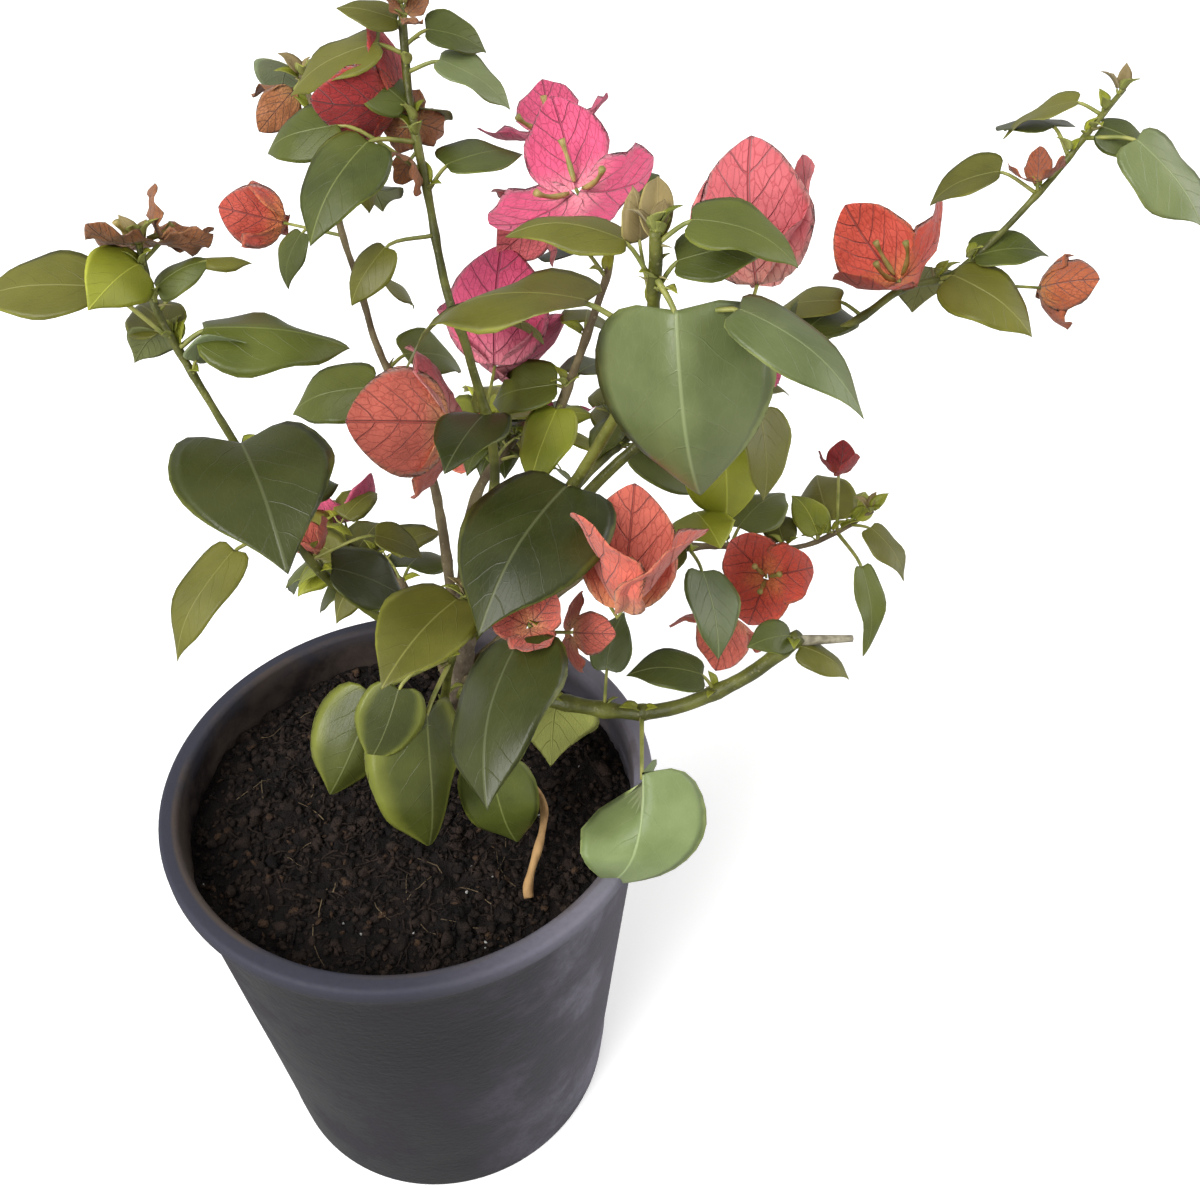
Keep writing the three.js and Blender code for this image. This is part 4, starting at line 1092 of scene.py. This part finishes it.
def make_trunk():
    limb = Limb(TRUNK_PATH)
    shape = bar_template(TRUNK_SIDES, TRUNK_RINGS)
    ts = np.linspace(0, 1, TRUNK_RINGS + 1)
    heights = ts * limb.span / MM
    flare = TRUNK_FLARE * np.clip(1 - heights / FLARE_HEIGHT, 0, 1) ** 2
    radii = (TRUNK_FOOT + (TRUNK_TIP - TRUNK_FOOT) * ts + flare) * MM
    line = np.array([limb.at(t) for t in ts])
    points = bend_bar(shape, line, radii)
    core = line[np.rint(shape["points"][:, 2] * TRUNK_RINGS).astype(int)]
    moved = []
    for p, c in zip(points, core):
        v = Vector((p[0], p[1], p[2] * 0.22)) * 520
        crack = -abs(noise.noise(v)) * 1.1 + noise.noise(Vector(p) * 160) * 0.9
        away = (p - c) / max(np.linalg.norm(p - c), 1e-6)
        moved.append(p + away * crack * MM)
    bark = cane_finish("trunk bark", (0.075, 0.055, 0.035), (0.19, 0.15, 0.10), (0.30, 0.26, 0.20), 0.85)
    bunch = Bunch("trunk_bark", [bark], "trunk")
    bunch.add(shape, np.array(moved), "trunk")
    bunch.build()


make_trunk()

# %% [markdown]
# ## Thorns, buds and young leaves
# A hooked thorn and a pair of tiny leaves stand in the foot of most leaves, and
# each shoot ends in a tuft of young ones. They are what makes a cane read as
# bougainvillea from close by. The three shoots at the back also carry fine side
# twigs with small leaves, which fill the crown there; a leaf that would leave its
# mass's box is left out.

# %% Thorns, buds and young leaves
SMALL_STALK = np.full(STALK_POINTS, 0.4) * MM
TWIG_RADII = np.linspace(0.8, 0.45, STALK_POINTS) * MM
# the leaves of a side twig: the twig's point, the turn from its heading, the tone
TWIG_LEAVES = ((3, 75, "mid"), (5, -80, "olive"), (6, -10, "fresh"))
thorn_skin = plain_finish("thorn skin", (0.16, 0.14, 0.05), (0.30, 0.26, 0.10), 0.5, 200, 0.0002)
thorns = Bunch("thorns", [thorn_skin])
young = {tone: Bunch(f"young_{tone}", leaf_finishes(tone), "foliage") for tone in ("young", "fresh")}
twig_leaves = {tone: Bunch(f"twig_leaves_{tone}", leaf_finishes(tone), "foliage")
               for tone in ("mid", "olive", "fresh")}
small_stalks = Bunch("small_stalks", [stalk_skin])


def grow_thorn(start, heading, rise, length, node):
    """A thorn curves a little downwards from a broad foot to a sharp tip."""
    out = direction(heading, rise)
    line = curved_line(start, out * length, start + out * length - np.array((0, 0, 0.15 * length)),
                       (out - np.array((0, 0, 0.5))) * length, 5)
    radii = np.array((1.0, 0.7, 0.45, 0.25, 0.04)) * min(length / (7 * MM), 1.2) * MM
    thorns.add(thorn_shape, bend_bar(thorn_shape, line, radii), node)


def grow_small_leaf(shoot, t, heading, rise, length, tone):
    start = shoot["limb"].at(t)
    axes = blade_frame(heading, rise, luck.uniform(-30, 30))
    look = {**COMMON_LEAF, "ratio": 0.6, "fold": 0.5, "curl": 0.12}
    base = start + direction(heading, min(rise + 20, 80)) * 2.5 * MM
    points = bend_blade(small_shape, base, axes, length * MM, look, luck.uniform(0, 6.3))
    young[tone].add(small_shape, points, "foliage_" + shoot["name"], luck.uniform())
    line = curved_line(start, (base - start) * 0.8, base, (base - start) * 0.8, STALK_POINTS)
    small_stalks.add(stalk_shape, bend_bar(stalk_shape, line, SMALL_STALK), "foliage_" + shoot["name"])


def dress_shoot(shoot):
    node = "foliage_" + shoot["name"]
    for row in shoot["all_leaves"]:
        t, heading = row[1], row[3]
        if luck.uniform() < 0.7:
            grow_thorn(shoot["limb"].at(t), heading + luck.uniform(-25, 25), luck.uniform(5, 40),
                       luck.uniform(4.5, 8) * MM, node)
        for turn in (-60, 70):
            if luck.uniform() < 0.55:
                grow_small_leaf(shoot, t, heading + turn + luck.uniform(-15, 15),
                                luck.uniform(20, 60), luck.uniform(5, 9), "fresh")
    if "snag" not in shoot:
        for i in range(4):
            grow_small_leaf(shoot, 0.985, i * GOLDEN_ANGLE, luck.uniform(35, 75),
                            luck.uniform(6, 11), "young" if i % 2 else "fresh")


def grow_snag(shoot):
    snag = shoot["snag"]
    start = shoot["limb"].at(snag["along"])
    end = start + direction(snag["heading"], snag["rise"]) * snag["length"] * MM
    line = curved_line(start, end - start, end, end - start, STALK_POINTS)
    radii = np.linspace(*snag["radii"], STALK_POINTS) * MM
    dry_wood = plain_finish("dry stub", (0.16, 0.14, 0.09), (0.34, 0.31, 0.22), 0.8, 300, 0.0004)
    bunch = Bunch("cane_snag", [dry_wood], "bough")
    bunch.add(stalk_shape, bend_bar(stalk_shape, line, radii), "foliage_" + shoot["name"])
    bunch.build()


def grow_side_twig(shoot, t, heading, rise, reach):
    """A fine twig from a leaf's foot, with small leaves that stay in their mass's box."""
    node = "foliage_" + shoot["name"]
    low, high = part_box(node)
    start = shoot["limb"].at(t)
    end = start + direction(heading, rise) * reach
    line = curved_line(start, direction(heading, 60) * reach, end,
                       direction(heading, rise - 25) * reach, STALK_POINTS)
    small_stalks.add(stalk_shape, bend_bar(stalk_shape, line, TWIG_RADII), node)
    for knot, turn, tone in TWIG_LEAVES:
        aim, lean = heading + turn, luck.uniform(-35, 10)
        length = luck.uniform(17, 27)
        base = line[knot] + direction(aim, lean + 30) * 2.5 * MM
        tip = base + direction(aim, lean) * length * MM
        if not all(a <= p <= b for a, p, b in zip(low, tip, high)):
            continue
        look = {**COMMON_LEAF, "fold": luck.uniform(-0.3, 0.3), "curl": luck.uniform(0.05, 0.2)}
        points = bend_blade(small_shape, base, blade_frame(aim, lean, luck.uniform(-25, 25)),
                            length * MM, look, luck.uniform(0, 6.3))
        twig_leaves[tone].add(small_shape, points, node, luck.uniform())
        stem = curved_line(line[knot], base - line[knot], base, base - line[knot], STALK_POINTS)
        small_stalks.add(stalk_shape, bend_bar(stalk_shape, stem, SMALL_STALK), node)


def thicken_shoot(shoot):
    """Side twigs in the feet of all leaves of a shoot that grows by rule alone."""
    for row in shoot["all_leaves"]:
        turn = luck.uniform(30, 60) * luck.choice((-1, 1))
        grow_side_twig(shoot, row[1], row[3] + turn, luck.uniform(5, 35), luck.uniform(15, 22) * MM)


for shoot in SHOOTS:
    dress_shoot(shoot)
    if not shoot["leaves"]:
        thicken_shoot(shoot)
    if "snag" in shoot:
        grow_snag(shoot)
for bunch in (*young.values(), *twig_leaves.values(), thorns, small_stalks):
    bunch.build()

# %% [markdown]
# ## Pot
# The pot is one thin turned wall with a rolled lip and a rounded foot. Its
# profile is drawn once with real radii and spun round, and four drain holes are
# cut through its floor. Its black plastic is dusty all round and splashed with
# soil on the inside of its wall. Its right side is painted paler, as light that
# falls on it, and its lip is paler and bluer, partly dust and partly a painted
# highlight.

# %% Pot
POT_LOW, POT_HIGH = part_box("pot")
POT_HEIGHT, RIM_RADIUS = POT_HIGH.z, POT_HIGH.x
BASE_RADIUS = 0.79 * RIM_RADIUS
LIP_DEPTH, LIP_OVERHANG, LIP_WIDTH, LIP_ROUND = 8 * MM, 3.5 * MM, 8 * MM, 2 * MM
FOOT_ROUND, WALL, FLOOR = 5 * MM, 3 * MM, 4 * MM
HOLES, HOLE_RADIUS, HOLE_CIRCLE = 4, 5 * MM, 55 * MM


def wall_radius(z):
    return mix(BASE_RADIUS, RIM_RADIUS - LIP_OVERHANG, z / POT_HEIGHT)


def arc(centre, radius, start, stop, steps):
    """Points (r, z) round a centre, from one angle to another in degrees."""
    angles = [math.radians(mix(start, stop, i / steps)) for i in range(steps + 1)]
    return [(centre[0] + radius * math.cos(a), centre[1] + radius * math.sin(a)) for a in angles]


def pot_profile():
    lip_foot = POT_HEIGHT - LIP_DEPTH
    inner = RIM_RADIUS - LIP_WIDTH
    outline = [(0, 0), (0.7 * BASE_RADIUS, 0)]
    outline += arc((wall_radius(FOOT_ROUND) - FOOT_ROUND, FOOT_ROUND), FOOT_ROUND, -90, 0, 8)
    outline += [(wall_radius(z), z) for z in np.linspace(0.02, lip_foot - 3 * MM, 24)]
    outline += arc((RIM_RADIUS - LIP_ROUND, lip_foot + LIP_ROUND), LIP_ROUND, -90, 0, 5)
    outline += arc((RIM_RADIUS - LIP_ROUND, POT_HEIGHT - LIP_ROUND), LIP_ROUND, 0, 90, 5)
    outline += arc((inner + LIP_ROUND, POT_HEIGHT - LIP_ROUND), LIP_ROUND, 90, 180, 5)
    outline += [(wall_radius(z) - WALL, z) for z in np.linspace(lip_foot - 6 * MM, FLOOR, 12)]
    return outline + [(0, FLOOR)]


def spin_profile(bm, outline, steps):
    verts = [bm.verts.new((r, 0, z)) for r, z in outline]
    edges = [bm.edges.new(pair) for pair in zip(verts, verts[1:])]
    bmesh.ops.spin(bm, geom=verts + edges, cent=(0, 0, 0), axis=(0, 0, 1), angle=2 * math.pi,
                   steps=steps, use_merge=True)
    bmesh.ops.remove_doubles(bm, verts=bm.verts[:], dist=1e-6)
    bmesh.ops.recalc_face_normals(bm, faces=bm.faces[:])


def weather_wall(bm):
    """A moulded wall is never quite true: it bows in and out by half a millimetre."""
    for vert in bm.verts:
        r = math.hypot(vert.co.x, vert.co.y)
        if 0.02 < vert.co.z < POT_HEIGHT - LIP_DEPTH - 4 * MM and r > 0.6 * BASE_RADIUS:
            shift = noise.noise(vert.co * 22) * 0.5 * MM - 0.3 * MM
            vert.co.x *= 1 + shift / r
            vert.co.y *= 1 + shift / r


def cut_holes(piece):
    """Drills the drain holes with a Boolean and keeps the result as the mesh."""
    bm = bmesh.new()
    for i in range(HOLES):
        a = 2 * math.pi * (i + 0.5) / HOLES
        at = Matrix.Translation((HOLE_CIRCLE * math.cos(a), HOLE_CIRCLE * math.sin(a), 0))
        bmesh.ops.create_cone(bm, cap_ends=True, segments=24, radius1=HOLE_RADIUS, radius2=HOLE_RADIUS,
                              depth=4 * FLOOR, matrix=at)
    drills = bpy.data.objects.new("drills", bpy.data.meshes.new("drills"))
    bm.to_mesh(drills.data)
    bm.free()
    bpy.context.collection.objects.link(drills)
    cut = piece.modifiers.new("holes", "BOOLEAN")
    cut.object, cut.operation, cut.solver = drills, "DIFFERENCE", "EXACT"
    bpy.context.view_layer.update()
    shaped = bpy.data.meshes.new_from_object(piece.evaluated_get(bpy.context.evaluated_depsgraph_get()))
    piece.modifiers.clear()
    piece.data = shaped
    bpy.data.objects.remove(drills)


# The plastic is black where it is clean and grey with dust. Its right side is painted
# paler as lit, and its lip is paler, partly dust and partly a painted highlight.
PLASTIC, DUST, DUST_IN_PAINTED_LIGHT = (0.004, 0.003, 0.005), (0.030, 0.026, 0.034), (0.160, 0.150, 0.185)
LIP_DUST_AND_HIGHLIGHT, LIP_DUST_IN_PAINTED_LIGHT = (0.046, 0.050, 0.072), (0.210, 0.200, 0.245)
SOIL_SPLASH = (0.075, 0.055, 0.042)


def pot_finish():
    stuff, tree, shader = paint("pot plastic", 0.5, Specular_IOR_Level=0.25)
    spot = put(tree, "TexCoord").outputs["Object"]
    parts = put(tree, "SeparateXYZ", {0: spot}).outputs
    cloud = put(tree, "TexNoise", {"Vector": spot, "Scale": 18.0, "Detail": 6.0,
                                   "Roughness": 0.65}).outputs[0]
    squashed = put(tree, "Mapping", {"Vector": spot, "Scale": (60, 60, 420)}).outputs[0]
    scuff = put(tree, "TexNoise", {"Vector": squashed, "Scale": 1.0, "Detail": 4.0}).outputs[0]
    speck = put(tree, "TexNoise", {"Vector": spot, "Scale": 420.0, "Detail": 2.0}).outputs[0]
    high = ramp(tree, parts["Z"], POT_HEIGHT - 1.5 * LIP_DEPTH, POT_HEIGHT, 0.0, 1.0)
    dust_and_light_share = math_node(tree, "MULTIPLY", ramp(tree, cloud, 0.42, 0.66), 0.7)
    scuffed = math_node(tree, "MULTIPLY", ramp(tree, scuff, 0.56, 0.72), 0.3)
    dust_and_light_share = math_node(tree, "MAXIMUM", dust_and_light_share, scuffed)
    # the lip is covered more: partly dust, partly a painted highlight
    dust_and_light_share = math_node(tree, "MAXIMUM", dust_and_light_share, math_node(tree, "MULTIPLY", high, 0.7))
    dust_and_light_share = math_node(tree, "MULTIPLY", dust_and_light_share, ramp(tree, speck, 0.25, 0.6, 0.6, 1.0))
    # painted light: the pot's right side is made paler, as if light falls on it from the right
    painted_lit_side = ramp(tree, parts["X"], -0.02, 0.08)
    dust_and_light_share = math_node(tree, "MULTIPLY_ADD", painted_lit_side, 0.4, dust_and_light_share)
    dust_and_light_colour = blend(tree, painted_lit_side, shade(DUST), shade(DUST_IN_PAINTED_LIGHT))
    colour = blend(tree, dust_and_light_share, shade(PLASTIC), dust_and_light_colour)
    # the lip's paler, bluer colour: partly dust, partly a painted highlight
    lip_dust_and_highlight = blend(tree, painted_lit_side, shade(LIP_DUST_AND_HIGHLIGHT), shade(LIP_DUST_IN_PAINTED_LIGHT))
    colour = blend(tree, math_node(tree, "MULTIPLY", high, 0.6), colour, lip_dust_and_highlight)
    level = put(tree, "CombineXYZ", {"X": parts["X"], "Y": parts["Y"]}).outputs[0]
    radius = put(tree, "VectorMath", {0: level}, operation="LENGTH").outputs["Value"]
    lean = (wall_radius(POT_HEIGHT) - BASE_RADIUS) / POT_HEIGHT
    outside = math_node(tree, "MULTIPLY_ADD", parts["Z"], lean, BASE_RADIUS)
    depth = math_node(tree, "SUBTRACT", outside, radius)
    inside = ramp(tree, depth, 0.4 * WALL, 0.8 * WALL)
    splash = math_node(tree, "MULTIPLY", inside, ramp(tree, cloud, 0.35, 0.65))
    colour = blend(tree, math_node(tree, "MULTIPLY", splash, 0.8), colour, shade(SOIL_SPLASH))
    tree.links.new(colour, shader.inputs["Base Color"])
    tree.links.new(math_node(tree, "MULTIPLY_ADD", dust_and_light_share, 0.4, 0.42), shader.inputs["Roughness"])
    bump(tree, shader, math_node(tree, "MULTIPLY_ADD", scuff, 0.5, speck), 0.0002)
    return stuff


def make_pot():
    bm = bmesh.new()
    spin_profile(bm, pot_profile(), 128)
    weather_wall(bm)
    mesh = bpy.data.meshes.new("nursery_pot")
    bm.to_mesh(mesh)
    bm.free()
    mesh.materials.append(pot_finish())
    piece = finish_piece("nursery_pot", mesh, {"pot"}, "pot")
    cut_holes(piece)
    piece.data.shade_smooth()


make_pot()

# %% [markdown]
# ## Soil
# Potting mix is crumbs of peat and bark, with a few white specks of perlite and
# pale fibres. The surface is a spun disc pushed up and down by noise, and the
# crumbs are many small faceted stones strewn over it.

# %% Soil
SOIL_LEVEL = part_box("soil")[1].z
EDGE_DROP, FLAT_RADIUS, SOIL_GAP = 5 * MM, 42 * MM, 0.3 * MM
SOIL_RADIUS = wall_radius(SOIL_LEVEL - EDGE_DROP) - WALL - SOIL_GAP
SOIL_LUMPS = ((95, 2.6), (260, 1.5), (700, 0.7))     # scale and height of each size of lump
SOIL_DEPTH = 30 * MM                    # of the mesh, whose underside nobody sees


def soil_height(x, y):
    """The height of the soil's surface: it falls to the wall and is lumpy."""
    r = math.hypot(x, y)
    fall = EDGE_DROP * np.clip((r - FLAT_RADIUS) / (SOIL_RADIUS - FLAT_RADIUS), 0, 1) ** 1.3
    spot = Vector((x, y, 0.3))
    lumps = sum(noise.noise(spot * scale) * height for scale, height in SOIL_LUMPS)
    return SOIL_LEVEL - fall + (lumps - 1.2) * MM


def soil_finish(name, dark, light, roughness):
    stuff, tree, shader = paint(name, roughness, Specular_IOR_Level=0.25)
    spot = put(tree, "TexCoord").outputs["Object"]
    cloud = put(tree, "TexNoise", {"Vector": spot, "Scale": 120.0, "Detail": 6.0}).outputs[0]
    grit = put(tree, "TexNoise", {"Vector": spot, "Scale": 1400.0, "Detail": 2.0}).outputs[0]
    tint = put(tree, "Attribute", attribute_name="tint").outputs["Fac"]
    share = math_node(tree, "MULTIPLY_ADD", ramp(tree, cloud, 0.4, 0.7), 0.5,
                      math_node(tree, "MULTIPLY", tint, 0.5))
    tree.links.new(blend(tree, share, shade(dark), shade(light)), shader.inputs["Base Color"])
    bump(tree, shader, math_node(tree, "ADD", cloud, grit), 0.0012)
    return stuff


def make_soil():
    bm = bmesh.new()
    rings = [(r, SOIL_LEVEL) for r in np.linspace(0, SOIL_RADIUS, 110)]
    spin_profile(bm, rings + [(SOIL_RADIUS, SOIL_LEVEL - SOIL_DEPTH), (0, SOIL_LEVEL - SOIL_DEPTH)], 260)
    for vert in bm.verts:
        if vert.co.z > SOIL_LEVEL - 0.01:
            vert.co.z = soil_height(vert.co.x, vert.co.y)
    mesh = bpy.data.meshes.new("potting_soil")
    bm.to_mesh(mesh)
    bm.free()
    mesh.shade_smooth()
    mesh.materials.append(soil_finish("potting mix", (0.004, 0.0028, 0.0026), (0.016, 0.010, 0.008), 0.9))
    add_numbers(mesh, "tint", [0.3] * len(mesh.vertices))
    finish_piece("potting_soil", mesh, {"soil"}, "soil")


def stone_template(subdivisions):
    bm = bmesh.new()
    bmesh.ops.create_icosphere(bm, subdivisions=subdivisions, radius=1)
    return collect(bm)


def strew(bunch, shape, count, sizes, flat):
    """Strews stones of uneven shape over the soil, half sunk in."""
    for _ in range(count):
        r = (SOIL_RADIUS - 2 * MM) * math.sqrt(luck.uniform())
        a = luck.uniform(0, 2 * math.pi)
        x, y = r * math.cos(a), r * math.sin(a)
        size = luck.uniform(*sizes) * MM
        uneven = shape["points"] * luck.uniform(0.5, 1.3, (len(shape["points"]), 1))
        turned = uneven * (luck.uniform(0.7, 1.2), luck.uniform(0.7, 1.2), flat)
        turn = np.array(Matrix.Rotation(luck.uniform(0, 6.3), 3, Vector(luck.normal(size=3))))
        centre = np.array((x, y, soil_height(x, y) + 0.25 * size))
        bunch.add(shape, turned @ turn * size + centre, "soil", luck.uniform())


def lay_fibres(bunch, count, lengths, thickness):
    """Thin dry fibres that lie on the soil, each a little bent."""
    for _ in range(count):
        r = (SOIL_RADIUS - 12 * MM) * math.sqrt(luck.uniform())
        a, heading = luck.uniform(0, 6.28), luck.uniform(0, 6.28)
        reach, bend = luck.uniform(*lengths) * MM, luck.uniform(-0.5, 0.5)
        line = []
        for s in np.linspace(-0.5, 0.5, 5):
            x = r * math.cos(a) + reach * (s * math.cos(heading) - bend * s * s * math.sin(heading))
            y = r * math.sin(a) + reach * (s * math.sin(heading) + bend * s * s * math.cos(heading))
            line.append((x, y, soil_height(x, y) + luck.uniform(0.2, 1.6) * MM))
        radii = np.linspace(1.0, 0.5, 5) * luck.uniform(*thickness) * MM
        bunch.add(thorn_shape, bend_bar(thorn_shape, line, radii), "soil", luck.uniform())


def dress_soil():
    dark = soil_finish("dark crumb", (0.004, 0.0030, 0.0028), (0.042, 0.026, 0.019), 0.9)
    bark_chip = soil_finish("bark chip", (0.025, 0.013, 0.008), (0.085, 0.048, 0.026), 0.85)
    straw = soil_finish("pale fibre", (0.10, 0.07, 0.04), (0.26, 0.19, 0.11), 0.85)
    white = soil_finish("perlite", (0.34, 0.33, 0.31), (0.62, 0.61, 0.58), 0.9)
    crumbs, chips = Bunch("soil_crumbs", [dark]), Bunch("bark_chips", [bark_chip])
    fibres, perlite = Bunch("soil_fibres", [straw]), Bunch("perlite", [white])
    small, large = stone_template(1), stone_template(2)
    strew(crumbs, small, 3600, (0.5, 2.0), 0.7)
    strew(crumbs, large, 320, (1.6, 3.6), 0.6)
    lay_fibres(crumbs, 700, (3, 9), (0.25, 0.6))
    strew(chips, small, 260, (0.8, 2.6), 0.4)
    strew(perlite, small, 34, (0.4, 0.9), 0.9)
    lay_fibres(fibres, 46, (5, 18), (0.14, 0.30))
    for bunch in (crumbs, chips, fibres, perlite):
        bunch.build()


make_soil()
dress_soil()

# %% [markdown]
# ## Dried stem
# A dried stem of an old leaf curls up from the soil at the front, pale brown and
# as thick as a straw, broken off at its top.

# %% Dried stem
DRIED_STEM = [(37, -61, 190), (38, -56, 193), (43, -47, 197), (48, -38, 204), (49, -32, 211),
              (46, -28, 216)]
STEM_SIDES, STEM_RINGS = 10, 40


def make_dried_stem():
    limb = Limb(DRIED_STEM)
    shape = bar_template(STEM_SIDES, STEM_RINGS)
    ts = np.linspace(0, 1, STEM_RINGS + 1)
    radii = (1.9 - 0.5 * ts + 0.25 * np.sin(ts * 19)) * MM
    points = bend_bar(shape, [limb.at(t) for t in ts], radii)
    straw = plain_finish("dried stem", (0.22, 0.12, 0.045), (0.42, 0.25, 0.10), 0.8, 130, 0.0008)
    bunch = Bunch("dried_stem", [straw])
    bunch.add(shape, ribbed(points, RELIEF_SCALE, 0.5 * MM, 5), "soil")
    bunch.build()


make_dried_stem()
